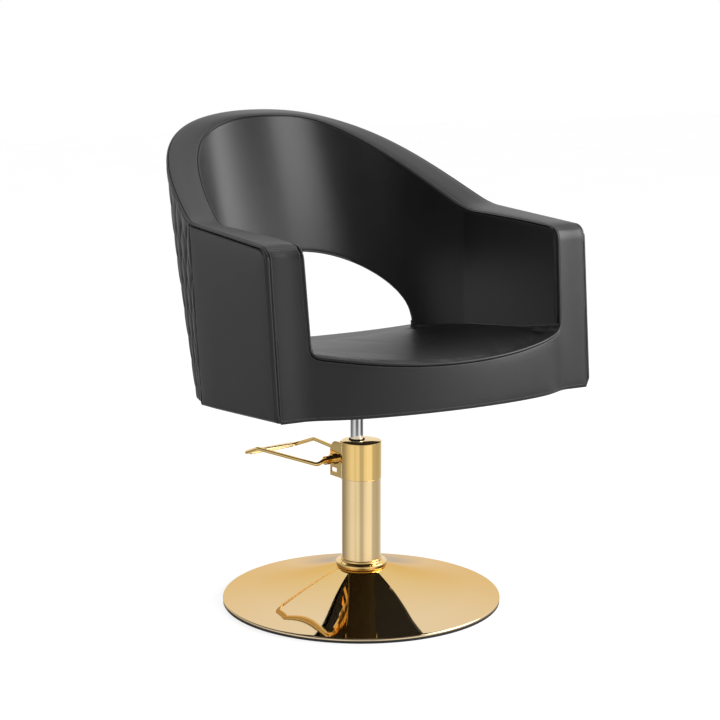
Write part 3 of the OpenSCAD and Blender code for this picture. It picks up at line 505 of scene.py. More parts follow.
def arch_line(stations, depth_share):
    """The arch's edge on one face, from the right sill to the left one."""
    line = []
    for st in stations:
        if st.kind == "spring":
            low = [st.share(v, depth_share) for v in np.linspace(0, st.split, LEG_POINTS)]
            line += low if st.side > 0 else low[::-1]
        elif st.kind == "back":
            line.append(st.share(st.split, depth_share))
    return np.array(line)


# Lining, arms and top band: one sheet inside, a crowned band on top

RIB, SEAM_DEEP, LIP = 1.7, 2.1, 0.35
EDGE_R, STRIP, ROLL, SEAT_LIP = 3.4, 3.4, 5.4, 4.0
# The arms' tops bend down at the front, and the side panels' corners are round
TOP_ROUND, PANEL_CORNER = 25.0, 23.0
# The band's crown begins behind the bend
CROWN, CROWN_START, CROWN_FADE = 3.0, 14.0, 20.0
ARCH_R = 7.0
# Behind the rib the side lies deeper, under the pads: depth, and the steps down to it
RECESS = 13.0
RECESS_SHARES, RECESS_DROPS = np.array([0, 0.12, 0.4, 1.0]), np.array([0.3, 0.9, 1.6, 2.6])
# Front corner of the arms, with a rib between two seams: distance back from the face, and shrink.
# Rings with a shrink over HIDDEN lie behind the front panel
FRONT_RINGS = [(3.0, 6.4), (1.4, 5.8), (0.3, 5.1), (0.0, 4.4), (0.0, 1.6), (0.25, 0.95), (0.7, 0.5),
               (1.4, 0.2), (2.0, 0.4), (2.5, 1.3), (3.0, 1.8), (3.6, 1.3), (4.4, 0.4), (5.6, 0.0)]
HIDDEN = 4.6
# Places of the sections along an arm, closer together at both ends
FIRST_PLACES = np.array([6.8, 8.2, 9.8, 11.6, 13.6, 15.8, 18.2, 21.0, 24.0, 27.5])
ARM_PLACES = np.concatenate([FIRST_PLACES - FRONT,
                             steps((33 - FRONT, SEAM_Y - 60, 34), (SEAM_Y - 60, SEAM_Y, 14))[:-1]])
STATIONS = walk(ARM_PLACES, 44, 96, 0.9)
ARCH_EDGE = arch_line(STATIONS, 1.0)
N_IN, N_LOW, N_SIDE, N_FOOT = 34, 15, 12, 8


# The seams beside the rib: places down the lining, across the band's top and at its outer edge
def groove(x, at, wide):
    """Share of a soft groove's depth at the place x."""
    return np.exp(-((x - at) / wide) ** 2)


LIP_DOWN = np.array([14.0, 11.0, 9.0, 7.6, 6.4, 5.4, 4.6, 3.9, 3.4, 2.9, 2.4, 2.0])
LIP_DEEP = SEAM_DEEP * groove(LIP_DOWN, 3.2, 0.8) - LIP * groove(LIP_DOWN, 6.0, 2.0)
TOP_SEAM = np.array([2.1, 2.6, 3.1, 3.6, 4.1, 4.7, 5.4])
TOP_DEEP = SEAM_DEEP * groove(TOP_SEAM, 3.4, 0.7)
OUTER_SEAM = np.array([2.4, 1.7, 1.1, 0.5, 0.0])
OUTER_DEEP = 0.7 * SEAM_DEEP * groove(OUTER_SEAM, 1.1, 0.7)
BAND_SHARES = np.array([0.05, 0.12, 0.22, 0.35, 0.5, 0.65, 0.78, 0.88, 0.95, 1.0])
BAND_END = 3.4


def outer_depth(st):
    """The side is full only in the narrow rib at the arm's front; pads lie in the rest."""
    return RECESS * min(1.0, max(0.0, st.front - STRIP + 1.0))


def crown(st, x, width):
    """Rise of the top band at the distance x from its inner edge."""
    full = CROWN * min(1.0, max(0.0, (st.front - CROWN_START) / CROWN_FADE))
    u = np.clip((x - TOP_SEAM[-1]) / (width - TOP_SEAM[-1]), 0, 1)
    return full * (1 - (2 * u - 1) ** 4)


def upper_ring(st, shrink=0.0):
    """Upper half of a section: up the inner face, over the band and down the outer face."""
    c = st.c
    out = unit(c[1] - c[2])
    drop = shrink + float(rounding(0.0 if shrink > HIDDEN else st.front, TOP_ROUND))
    rim = c[2] + out * shrink - UP * drop
    edge = c[1] - out * shrink - UP * drop
    v = np.linspace(st.split, 1, 90)
    face = st.share(v, np.ones_like(v)) + out * shrink
    face = face[(face[:, 2] <= rim[2]) & (np.linalg.norm(face - rim, axis=1) > LIP_DOWN[0] + 2)]
    run = run_along(face)
    face = places(run[-1] * steps((0, 0.08, 8), (0.08, 1, N_IN - 7)), run, face)
    fall_in = unit(c[3] - c[2])
    lip = rim + fall_in * LIP_DOWN[:, None] + out * LIP_DEEP[:, None]
    rib = round_corner(rim + fall_in * RIB, rim, edge, RIB, 7)
    width = np.linalg.norm(edge - rim) - EDGE_R
    x = np.concatenate([TOP_SEAM, lerp(TOP_SEAM[-1], width - BAND_END, BAND_SHARES), width - OUTER_SEAM])
    deep = np.concatenate([TOP_DEEP, np.zeros(len(BAND_SHARES)), OUTER_DEEP])
    band = rim + out * x[:, None] + UP * (crown(st, x, width) - deep)[:, None]
    end = edge - out * EDGE_R
    down = unit(c[0] - c[1])
    corner = round_corner(end, edge, edge + down, EDGE_R, 8)
    depth = outer_depth(st) * RECESS_SHARES
    low = EDGE_R + float(rounding(st.front - STRIP, PANEL_CORNER))
    fall = edge + down * (low + RECESS_DROPS)[:, None] - out * depth[:, None]
    v_out = np.linspace((fall[-1][2] - TUB_Z) / st.height, st.split, N_SIDE)[1:]
    side = st.deep(v_out, np.full(len(v_out), shrink + outer_depth(st)))
    return np.concatenate([face, lip, rib, band, corner, fall, side])


def lower_ring(st, top_in, top_out, shrink=0.0):
    """Lower half: down the inner face, across the foot and up the outer one."""
    out = unit(st.c[1] - st.c[2])
    v = np.linspace(st.split, 0, N_LOW)
    face = st.share(v, np.ones_like(v)) + out * shrink
    face[0] = top_in
    side = st.deep(np.linspace(0, st.split, N_FOOT), np.full(N_FOOT, shrink + outer_depth(st)))
    side[-1] = top_out
    foot = [lerp(face[-1], side[0], s) for s in (0.33, 0.66)]
    return np.concatenate([face, foot, side])


def sunk(face, centre, radius, edge):
    """Face points drawn towards centre near an edge, which makes it round."""
    fall = rounding(edge_distance(face, edge), radius)
    return face + unit(centre - face) * fall[..., None]


def front_stations(side):
    return [(Station(arm_section(-FRONT + back), side, "arm"), shrink) for back, shrink in FRONT_RINGS]


def between(a, b, count):
    """A patch that spans two rows of points."""
    return np.array([lerp(a, b, s) for s in np.linspace(0, 1, count)])


def tub_patches():
    sections = front_stations(1) + [(st, 0.0) for st in STATIONS] + front_stations(-1)[::-1]
    upper = np.array([upper_ring(st, shrink) for st, shrink in sections])
    upper[:, :N_IN] = sunk(upper[:, :N_IN], upper[:, -1:], ARCH_R, ARCH_EDGE)
    patches = [upper]
    around = [i for i, (st, _) in enumerate(sections) if st.kind in ("spring", "back")]
    patches.append(between(upper[around, -1], upper[around, 0], 10).swapaxes(0, 1))
    for side in (1, -1):
        own = [i for i, (st, _) in enumerate(sections) if st.side == side and st.kind != "back"]
        rings = [lower_ring(sections[i][0], upper[i][0], upper[i][-1], sections[i][1]) for i in own]
        lower = np.array(rings)
        lower[:, 1:N_LOW] = sunk(lower[:, 1:N_LOW], lower[:, -2:-1], ARCH_R, ARCH_EDGE)
        patches.append(lower)
        end, front = (lower[-1], lower[0]) if side > 0 else (lower[0], lower[-1])
        face, back = end[:N_LOW], end[N_LOW + 1:][::-1]
        back = places(np.linspace(0, 1, N_LOW), np.linspace(0, 1, len(back)), back)
        patches.append(between(face, back, 8))
        top = upper[0] if side > 0 else upper[-1]
        loop = np.concatenate([top[::-1], front[1:]])
        patches.append(between(loop, loop.mean(0), 2))
    return [row(p) for p in patches]


tub = mesh_piece("tub_lining", tub_patches(), "black_leather", "seat",
                 ("arm_left", "arm_right", "wing_left", "wing_right", "backrest"))

# Quilted skin round the back

PUFF, QUILT_SINK, CELL_W, CELL_H, HEM_R = 5.2, 3.4, 56.0, 50.0, 5.0
# Sharpness of the sewn lines, and how far from the skin's edges the puffs are full
LINE_POWER, PUFF_POWER, EDGE_FADE, TOP_FADE, LEAST_PUFF = 3.0, 0.75, 16.0, 60.0, 0.3
QUILT_R, QUILT_IN, QUILT_BACK = 4.0, 0.8, 12.0
TOP_GAP = EDGE_R + 1.8


def quilt_frame():
    stations = walk([], 90, 150, 1.0, 1.15)
    middle = np.array([st.share(0.75, 0.0) for st in stations])
    run = run_along(middle)
    return stations, run - run[-1] / 2, arch_line(stations, 0.0)


Q_STATIONS, Q_RUN, Q_EDGE = quilt_frame()


def quilt_skin(i, v):
    """Front and back points of the quilt at station i and height shares v."""
    st, s = Q_STATIONS[i], Q_RUN[i]
    z = v * st.height
    p = st.share(v, np.zeros_like(v))
    out = unit(p - st.share(v, np.ones_like(v)))
    fa, fb = [np.abs(2 * np.mod(s / CELL_W + sign * z / CELL_H / 2 + 0.25, 1) - 1) for sign in (1, -1)]
    cell = ((1 - fa ** LINE_POWER) * (1 - fb ** LINE_POWER)) ** PUFF_POWER
    top = (1 - v) * st.height - TOP_GAP
    side = abs(Q_RUN[-1]) - abs(s) + np.zeros_like(v)
    arch = edge_distance(p, Q_EDGE)
    edges = np.minimum(np.minimum(top, side), arch)
    fall = np.maximum(rounding(edges, QUILT_R), rounding(z, HEM_R))
    near = np.clip(np.minimum(edges, z) / EDGE_FADE, 0, 1) * np.clip(0.35 + top / TOP_FADE, 0, 1)
    lift = PUFF * cell * lerp(LEAST_PUFF, 1, near) - QUILT_SINK * near - QUILT_IN - fall
    return p + out * lift[..., None], p - out * QUILT_BACK


def quilt_patches():
    count = range(len(Q_STATIONS))

    def grid(ids, low, high, shares):
        pairs = [quilt_skin(i, lerp(low(Q_STATIONS[i]), high(Q_STATIONS[i]), shares)) for i in ids]
        return np.array([p[0] for p in pairs]), np.array([p[1] for p in pairs])

    def rim(st):
        return 1 - TOP_GAP / st.height

    top, back = grid(count, lambda st: st.split, rim, steps((0, 0.03, 5), (0.03, 0.97, 84), (0.97, 1, 5)))
    arch = [i for i in count if Q_STATIONS[i].kind in ("spring", "back")]
    patches = [top, back, np.array([top[:, -1], back[:, -1]]), np.array([top[arch, 0], back[arch, 0]])]
    for side in (1, -1):
        ids = [i for i in count if Q_STATIONS[i].side == side and Q_STATIONS[i].kind != "back"]
        low, low_back = grid(ids, lambda st: 0.0, lambda st: st.split, steps((0, 0.14, 9), (0.14, 1, 26)))
        low[:, -1], low_back[:, -1] = top[ids, 0], back[ids, 0]
        first = 0 if side > 0 else -1
        patches += [low, low_back, np.array([low[:, 0], low_back[:, 0]])]
        patches += [np.array([low[k], low_back[k]]) for k in (0, -1)]
        patches.append(np.array([top[first], back[first]]))
    return [row(p) for p in patches]


quilt = mesh_piece("quilted_back", quilt_patches(), "quilted_leather", "seat",
                   ("quilt_left", "quilt_right", "quilt_back"), sharp=75)

# Flat side panels

PANEL_R, SIDE_R, SIDE_GAP, SEAM_GAP, PAD_BACK = 2.6, 5.6, 2.4, 0.6, 9.0
# A side panel's face begins PAD_IN inside the tub's width and swells by PAD_FULL over PAD_SOFT
PAD_IN, PAD_FULL, PAD_SOFT = 0.8, 1.4, 14.0
EDGE_SHARES = steps((0, 0.03, 6), (0.03, 0.97, 34), (0.97, 1, 6))


def side_sheet(side):
    """Front and back grids of a side panel."""
    y0, y1 = STRIP + SIDE_GAP - FRONT, SEAM_Y - SEAM_GAP
    front, back = [], []
    for y in lerp(y0, y1, EDGE_SHARES):
        top = arm_section(y)[1][2] - TOP_GAP - float(rounding(y - y0, PANEL_CORNER))
        z = lerp(TUB_Z, top, EDGE_SHARES)
        d = np.minimum(np.minimum(y - y0, y1 - y), np.minimum(z - TUB_Z, top - z))
        x = HALF_W - PAD_IN + PAD_FULL * (1 - np.exp(-d / PAD_SOFT)) - rounding(d, SIDE_R)
        front.append(np.stack([side * x, np.full_like(z, y), z], -1))
        back.append(np.stack([np.full_like(z, side * (HALF_W - PAD_BACK)), np.full_like(z, y), z], -1))
    return np.array(front), np.array(back)


def closed(front, back):
    """Two grids and the walls between their rims."""
    walls = [np.array([front[k], back[k]]) for k in (0, -1)]
    walls += [np.array([front[:, k], back[:, k]]) for k in (0, -1)]
    return [front, back] + walls


for name, side in (("side_panel_left", -1), ("side_panel_right", 1)):
    pad = mesh_piece(name + "_pad", [row(p) for p in closed(*side_sheet(side))], "black_leather", "seat",
                     (name,), sharp=75)

# The bowed front: its outline follows the seat's front edge between the arms

BOW_SOFT = 20.0
BOW_X = np.arange(-400, 401, 1.0)
BOW_RAW = np.where(np.abs(BOW_X) < IN_FOOT_X,
                   BOW * np.maximum(0, 1 - (BOW_X / IN_FOOT_X) ** 2) ** BOW_POWER, 0)
BLUR = np.exp(-(np.arange(-3 * BOW_SOFT, 3 * BOW_SOFT + 1) / BOW_SOFT) ** 2 / 2)
BOW_Y = -FRONT - np.convolve(BOW_RAW, BLUR / BLUR.sum(), "same")


def front_y(x):
    return np.interp(x, BOW_X, BOW_Y)


def seat_front_z(x):
    fillet = rounding(IN_FOOT_X - np.abs(x), SEAT_FILLET)
    return TUB_Z + SEAT_H + SEAT_RISE * (x / IN_FOOT_X) ** 2 + fillet


def sill_z(x):
    return TUB_Z + SILL_H + SEAT_RISE / 2 * (x / IN_FOOT_X) ** 2


# Seat

SEAT_BEND, FADE, REAR_FILLET, CREASE_R, SEAT_START = 0.55, 8, 13.0, 4.0, 4.2
# Shares of the sill's top, and of its outer face down to a small radius at the foot
SILL_TOP, SILL_FACE = (0.15, 0.35, 0.55, 0.75, 0.95), (0.85, 0.6, 0.36, 0.18, 0.08, 0.03, 0.008, 0.0)
SILL_FOOT_R = 5.0
SEAT_A = -np.cos(np.linspace(0, math.pi, 121))
SEAT_ROWS = steps((0.004, 0.04, 5), (0.04, 0.94, 60), (0.94, 1, 8))
ROLL_PATH = ((4.0, -9.0), (3.6, -6.4), (2.2, -4.8), (0.6, -3.8), (-0.3, -2.8), (-0.5, -1.9), (0.0, -0.9),
             (1.1, -0.25), (2.8, 0.0))


def seat_column(a, edges):
    """Points of the seat from its front roll to the rear sill's foot, at one place across."""
    side = 1 if a >= 0 else -1
    x0 = a * IN_FOOT_X
    rear_cut = wall_section(lerp(1, ARCH_T, abs(a)))
    z_front = float(seat_front_z(x0))
    k = abs(face_at(arm_section(SEAT_LIP - FRONT), z_front)[0]) / IN_FOOT_X
    fy = float(front_y(x0))
    column = [(x0 * k, fy + dy, z_front + dz) for dy, dz in ROLL_PATH]
    for s, edge in zip(SEAT_ROWS, edges):
        half = lerp(IN_FOOT_X, ARCH_W / 2, s ** 3)
        radius = lerp(lerp(SEAT_FILLET, CREASE_R, min(1.0, s * 5)), REAR_FILLET, max(0.0, s - 0.9) * 10)
        rise = rounding(half * (1 - abs(a)), radius)
        z = lerp(TUB_Z + SEAT_H + SEAT_RISE * a * a, float(sill_z(x0)), s) + float(rise)
        z -= 4 * SEAT_DISH * s * (1 - s) * (1 - a * a)
        e, rear = face_at(edge, z), face_at(rear_cut, z)
        line_x = lerp(x0 * k, side * abs(rear[0]), s)
        line_y = lerp(fy + SEAT_START, rear[1], s)
        column.append((lerp(a * e[0], line_x, s ** FADE), lerp(line_y, e[1], abs(a) ** 4), z))
    st = Station(rear_cut, side, "spring")
    z_sill = column[-1][2]
    v = (z_sill - TUB_Z) / (rear_cut[2][2] - TUB_Z)
    inner, outer, foot = st.share(v, 1.0), st.share(v, 0.0), st.share(0.0, 0.0)
    thick = np.linalg.norm(outer - inner)
    column += [tuple(lerp(inner, outer, q * (1 - SILL_EDGE / thick))) for q in SILL_TOP]
    column += [tuple(p) for p in round_corner(inner, outer, foot, SILL_EDGE, 9)]
    low = v * (1 - SILL_EDGE / (z_sill - TUB_Z))
    for w in SILL_FACE:
        column.append(tuple(st.deep(w * low, float(rounding(w * SILL_H, SILL_FOOT_R)))))
    return column


def seat_grid():
    cuts = []
    for s in SEAT_ROWS:
        if s < SEAT_BEND:
            cuts.append(arm_section(lerp(SEAT_START - FRONT, SEAM_Y, s / SEAT_BEND)))
        else:
            cuts.append(wall_section((s - SEAT_BEND) / (1 - SEAT_BEND) * ARCH_T))
    return np.array([seat_column(a, cuts) for a in SEAT_A])


CLOTH_FRAMES, CLOTH_PRESSURE, SEAT_CAP = 20, 1.5, 0.004


def puff_up(piece, grid, free):
    """Blow a cover up with Blender's Cloth where free is true, pinned elsewhere, and keep the result."""
    mesh = piece.data
    tree = KDTree(free.size)
    for i, p in enumerate(grid.reshape(-1, 3)):
        tree.insert(p, i)
    tree.balance()
    loose = free.reshape(-1)
    pins = piece.vertex_groups.new(name="seams")
    pins.add([v.index for v in mesh.vertices if not loose[tree.find(v.co)[1]]], 1.0, "REPLACE")
    before = np.array([v.co for v in mesh.vertices])
    upward = np.sign(sum(face.normal.z * face.area for face in mesh.polygons))
    cloth = piece.modifiers.new("cloth", "CLOTH")
    cloth.point_cache.frame_end = CLOTH_FRAMES
    cloth.settings.quality = 6
    cloth.settings.mass = 0.25
    cloth.settings.bending_stiffness = 4
    cloth.settings.vertex_group_mass = pins.name
    cloth.settings.effector_weights.gravity = 0
    cloth.settings.shrink_min = -0.006
    cloth.settings.use_pressure = True
    cloth.settings.uniform_pressure_force = CLOTH_PRESSURE * upward
    for step in range(1, CLOTH_FRAMES + 1):
        scene.frame_set(step)
    settled = piece.evaluated_get(bpy.context.evaluated_depsgraph_get())
    shift = np.array([v.co for v in settled.data.vertices]) - before
    piece.modifiers.remove(cloth)
    piece.vertex_groups.remove(pins)
    length = np.linalg.norm(shift, axis=1, keepdims=True)
    after = before + shift * np.minimum(1, SEAT_CAP / np.maximum(length, 1e-9)) ** 0.5
    mesh.vertices.foreach_set("co", after.reshape(-1))
    mesh.update()
    scene.frame_set(1)


def seat_pad():
    """The seat and sill in one sheet; the seat's free field, inside its seams, swells a little."""
    points = row(seat_grid())
    made = mesh_piece("seat_pad", [points], "black_leather", "seat", ("seat_cushion", "rear_rail"), sharp=75)
    free = np.zeros(points.shape[:2], bool)
    first = len(ROLL_PATH)
    free[4:-4, first + 2:first + len(SEAT_ROWS) - 4] = True
    puff_up(made, points, free)
    return made


seat = seat_pad()

# The U-shaped front panel

SIDE_INSET, SPLIT_Z, ARM_CORNER = 5.0, 577.0, 5.0
PANEL_OUT, PANEL_FULL, PANEL_SOFT = 0.6, 1.5, 10.0
# Over the arms the panel leans back round the bend, to its seam with the band; its height is unrolled there
BEND_Z, BEND = ARM_Z - TOP_ROUND, math.radians(64)
ARM_TOP = BEND_Z + TOP_ROUND * BEND
U_X = np.linspace(0, IN_FOOT_X + 1.5, 90)
U_Z = seat_front_z(U_X) - SEAT_LIP
U_EDGE = U_X + ROLL * (U_X / IN_FOOT_X) ** 12
INNER_Z = np.linspace(SPLIT_Z, ARM_TOP, 24)
INNER_X = np.array([face_at(arm_section(-FRONT), z)[0] + ROLL for z in INNER_Z])


def u_line(inset):
    """Half of the panel's inner edge, from the middle up the arm, moved inwards by inset."""
    x = np.concatenate([U_EDGE, INNER_X])
    z = np.concatenate([U_Z, INNER_Z])
    along = unit(np.stack([np.gradient(x), np.gradient(z)], -1))
    return np.stack([x + along[:, 1] * inset, z - along[:, 0] * inset], -1)


def outer_x(z):
    return HALF_W - SIDE_INSET - rounding(ARM_TOP - z, ARM_CORNER)


def panel_outline():
    inner = u_line(0)
    z = ARM_TOP - ARM_CORNER * np.linspace(0, 1, 8) ** 2
    outer = np.stack([outer_x(z), z], -1)
    half = np.concatenate([inner, outer, [[HALF_W - SIDE_INSET, TUB_Z], [0, TUB_Z]]])
    full = np.concatenate([half, (half * [-1, 1])[::-1]])
    return np.stack([full[:, 0], np.zeros(len(full)), full[:, 1]], -1)


OUTLINE = panel_outline()


def panel_point(x, h, back=None):
    """Points of the panel's face at the unrolled height h, or of its back, round the bow and the bend."""
    flat = np.stack([x, np.zeros_like(x), h], -1)
    d = edge_distance(flat, OUTLINE)
    face = PANEL_OUT + PANEL_FULL * (1 - np.exp(-d / PANEL_SOFT)) - rounding(d, PANEL_R)
    full = face if back is None else -back
    turn = np.maximum(0, h - BEND_Z) / TOP_ROUND
    y = front_y(x) + TOP_ROUND * (1 - np.cos(turn)) - full * np.cos(turn)
    z = np.minimum(h, BEND_Z) + (TOP_ROUND + full) * np.sin(turn)
    return np.stack([x, y, z], -1)


def panel_sheet(x, h):
    return panel_point(x, h), panel_point(x, h, PAD_BACK)


def panel_patches():
    x = steps((IN_FOOT_X + 6, HALF_W - SIDE_INSET, 20))
    x = np.concatenate([-x[::-1], np.linspace(-IN_FOOT_X - 4, IN_FOOT_X + 4, 180), x])
    top = np.minimum(SPLIT_Z, np.interp(np.abs(x), U_EDGE, U_Z))
    top = np.where(np.abs(x) > U_EDGE[-1], SPLIT_Z, top)
    z = np.array([lerp(TUB_Z, t, steps((0, 0.04, 6), (0.04, 0.93, 26), (0.93, 1, 9))) for t in top])
    patches = closed(*panel_sheet(np.repeat(x[:, None], z.shape[1], 1), z))
    for side in (1, -1):
        z = lerp(SPLIT_Z, ARM_TOP, steps((0, 0.93, 40), (0.93, 1, 12)))
        w = steps((0, 0.08, 6), (0.08, 0.92, 18), (0.92, 1, 6))
        x = np.array([side * lerp(np.interp(z, INNER_Z, INNER_X), outer_x(z), s) for s in w])
        front, back = panel_sheet(x, np.repeat(z[None], len(w), 0))
        patches += [front, back] + [np.array([front[k], back[k]]) for k in (0, -1)]
        patches.append(np.array([front[:, -1], back[:, -1]]))
    return [row(p) for p in patches]


panel = mesh_piece("front_panel", panel_patches(), "black_leather", "seat", ("front_apron",), sharp=75)

# Stitches and piping

STITCH, STITCH_GAP, STITCH_R, BAND_STITCH = 3.4, 1.4, 0.75, 6.6
SEAM_IN, ROW_GAP, HEM_UP, SIDE_IN = 3.0, 5.0, 6.0, 6.0
# Each entry: place along the stitch, width and height, as shares
STITCH_SHAPE = ((0.0, 0.3, -0.5), (0.2, 0.9, 0.1), (0.8, 0.9, 0.1), (1.0, 0.3, -0.5))


def tube_mesh(name, rings):
    """A mesh of tubes with capped ends, each one a run of closed rings."""
    verts, faces = [], []
    for run in rings:
        n, m = run.shape[:2]
        k = np.arange(n * m).reshape(n, m) + len(verts)
        ahead = np.roll(k, -1, 1)
        faces += np.stack([k[:-1], ahead[:-1], ahead[1:], k[1:]], -1).reshape(-1, 4).tolist()
        faces += [k[0][::-1].tolist(), k[-1].tolist()]
        verts += row(run.reshape(-1, 3)).tolist()
    mesh = bpy.data.meshes.new(name)
    mesh.from_pydata(verts, [], faces)
    return mesh


def stitch_runs(points, normals, sides=5):
    """Rings of the short threads along one line in tub mm."""
    points, normals = np.asarray(points, float), unit(normals)
    run = run_along(points)
    count = max(1, round(run[-1] / (STITCH + STITCH_GAP)))
    turn = np.linspace(0, 2 * math.pi, sides, endpoint=False)
    starts = np.arange(count) * run[-1] / count
    rings = []
    for share, width, lift in STITCH_SHAPE:
        at = starts + STITCH * share
        p = places(at, run, points)
        n = unit(places(at, run, normals))
        along = unit(places(at + 1, run, points) - places(at - 1, run, points))
        across = unit(np.cross(n, along))
        ring = p[:, None] + n[:, None] * (STITCH_R * (0.3 + lift))
        ring = ring + across[:, None] * (np.cos(turn) * width * STITCH_R)[None, :, None]
        rings.append(ring + n[:, None] * (np.sin(turn) * width * STITCH_R * 0.8)[None, :, None])
    return list(np.stack(rings, 1))


def stitches(name, lines):
    runs = [ring for points, normals in lines for ring in stitch_runs(points, normals)]
    return finish_piece(name, tube_mesh(name, runs), "thread", "seat", sharp=80)


def band_lines():
    """Stitches on the top band, beside its inner seam."""
    inner, up = [], []
    for st in STATIONS:
        c = st.c
        out = unit(c[1] - c[2])
        width = np.linalg.norm(c[1] - c[2]) - EDGE_R
        rise = crown(st, BAND_STITCH, width) - float(rounding(st.front, TOP_ROUND))
        inner.append(c[2] + out * BAND_STITCH + UP * rise)
        up.append(unit(np.cross(np.cross(out, UP), -out)))
    up = [n if n[2] > 0 else -n for n in up]
    return [(inner[3:-3], up[3:-3])]


def panel_lines():
    """Stitches inside the panel's seams: the U, the outer sides, the arms' tops and the hem."""
    def on_panel(flat):
        x, z = np.asarray(flat, float).T
        turn = np.maximum(0, z - BEND_Z) / TOP_ROUND
        return panel_point(x, z), np.stack([np.zeros_like(x), -np.cos(turn), np.sin(turn)], -1)

    u = u_line(SEAM_IN)
    u = u[u[:, 1] < ARM_TOP - SEAM_IN]
    lines = [np.concatenate([(u * [-1, 1])[::-1], u[1:]])]
    edge = HALF_W - SIDE_INSET - SEAM_IN
    hem = np.linspace(-edge, edge, 240)
    lines.append(np.stack([hem, np.full_like(hem, TUB_Z + HEM_UP)], -1))
    for side in (1, -1):
        z = np.linspace(TUB_Z + HEM_UP, ARM_TOP - SEAM_IN, 60)
        lines.append(np.stack([side * (outer_x(z) - SEAM_IN), z], -1))
        for drop in (SEAM_IN, SEAM_IN + ROW_GAP):
            x = np.linspace(INNER_X[-1] + SEAM_IN, edge - 1, 20)
            lines.append(np.stack([side * x, np.full_like(x, ARM_TOP - drop)], -1))
    return [on_panel(flat) for flat in lines]


def side_lines():
    """Stitches inside the side panels' front, top and bottom edges."""
    lines = []
    start = STRIP + SIDE_GAP - FRONT
    y = np.linspace(start + SIDE_IN, SEAM_Y - SEAM_IN, 60)
    rims = np.array([arm_section(v)[1][2] for v in y])
    top = rims - TOP_GAP - SIDE_IN - rounding(y - start, PANEL_CORNER)
    front, low = np.full_like(y, y[0]), np.full_like(y, TUB_Z + HEM_UP)
    x = HALF_W - PAD_IN + PAD_FULL * (1 - math.exp(-SIDE_IN / PAD_SOFT))
    for side in (1, -1):
        for ys, zs in ((y, top), (y, low), (front, np.linspace(low[0], top[0], 60))):
            p = np.stack([np.full_like(y, side * x), ys, zs], -1)
            lines.append((p, np.tile([float(side), 0, 0], (len(y), 1))))
    return lines


stitches("stitch_band", band_lines())
stitches("stitch_front", panel_lines())
stitches("stitch_sides", side_lines())


PIPE_R, PIPE_LAP, PIPE_OUT, WELT_R, WELT_IN = 2.5, 0.2, 0.2, 1.5, 2.5


def piping(name, line, across, upright, radius, sides):
    """A round cord along a line, from two directions square to it."""
    turn = np.linspace(0, 2 * math.pi, sides, endpoint=False)[:, None]
    rim = np.cos(turn) * across[:, None] + np.sin(turn) * upright[:, None]
    mesh = tube_mesh(name, [line[:, None] + radius * rim])
    return finish_piece(name, mesh, "black_leather", "seat")


def arch_welt():
    """Thin piping where the lining turns into the arch."""
    across = unit(arch_line(STATIONS, 0.0) - ARCH_EDGE)
    line = ARCH_EDGE + across * (ARCH_R + WELT_IN)
    inward = unit(np.cross(unit(np.gradient(line, axis=0)), across))
    return piping("arch_welt", line, across, inward, WELT_R, 8)


def u_piping():
    """Piping round the U, between the front panel and the seat and arms."""
    u = u_line(PIPE_LAP - PIPE_R)
    flat = np.concatenate([(u * [-1, 1])[::-1], u[1:]])
    line = panel_point(flat[:, 0], flat[:, 1], -PIPE_OUT)
    along = unit(np.gradient(line, axis=0))
    across = unit(np.cross(along, [0, -1, 0]))
    return piping("u_piping", line, across, np.cross(across, along), PIPE_R, 10)


arch_welt()
u_piping()

# Trumpet base and column, with smooth surfaces for their reflections

BASE_R, CROWN_R, CROWN_Z, RIM_LOW, RIM_TOP, COVER_R = 280.0, 47.5, 70.0, 5.0, 9.0, 3.0
FLARE_CONE, FLARE_POWER, SHEET = 0.76, 2.5, 1.8
TUBE_R, TUBE_LOW, TUBE_TOP, TUBE_WALL, TUBE_GAP = 39.5, 13.0, 252.0, 3.5, 0.3
FLANGE_H, FLANGE_R, FLANGE_ROUND = 10.0, 49.5, 2.0
COLLAR_R, COLLAR_IN, COLLAR_TOP, COLLAR_CAP, COLLAR_GAP, ROD_HOLE_R = 40.5, 37.0, 326.5, 3.0, 0.2, 16.3
# The lever's window in the collar: height, and where it lies round the back
WINDOW_LOW, WINDOW_HIGH, WINDOW_TURN, WINDOW_SPAN = 267.0, 293.0, 98.0, (20.0, 32.0)
ROUND = np.radians(np.linspace(0, 360, 241))


def turned(line, angles=ROUND):
    """A grid from (radius, height) pairs in mm, turned about the column."""
    line = np.array(line, float)
    r, z = line[:, :1], line[:, 1:] + 0 * angles
    return np.stack([r * np.cos(angles), r * np.sin(angles), z], -1)


def arc(centre, radius, start, end, n=7):
    """Points of an arc in the (radius, height) plane, from start to end in degrees."""
    t = np.radians(np.linspace(start, end, n))
    return [(centre[0] + radius * math.cos(k), centre[1] + radius * math.sin(k)) for k in t]


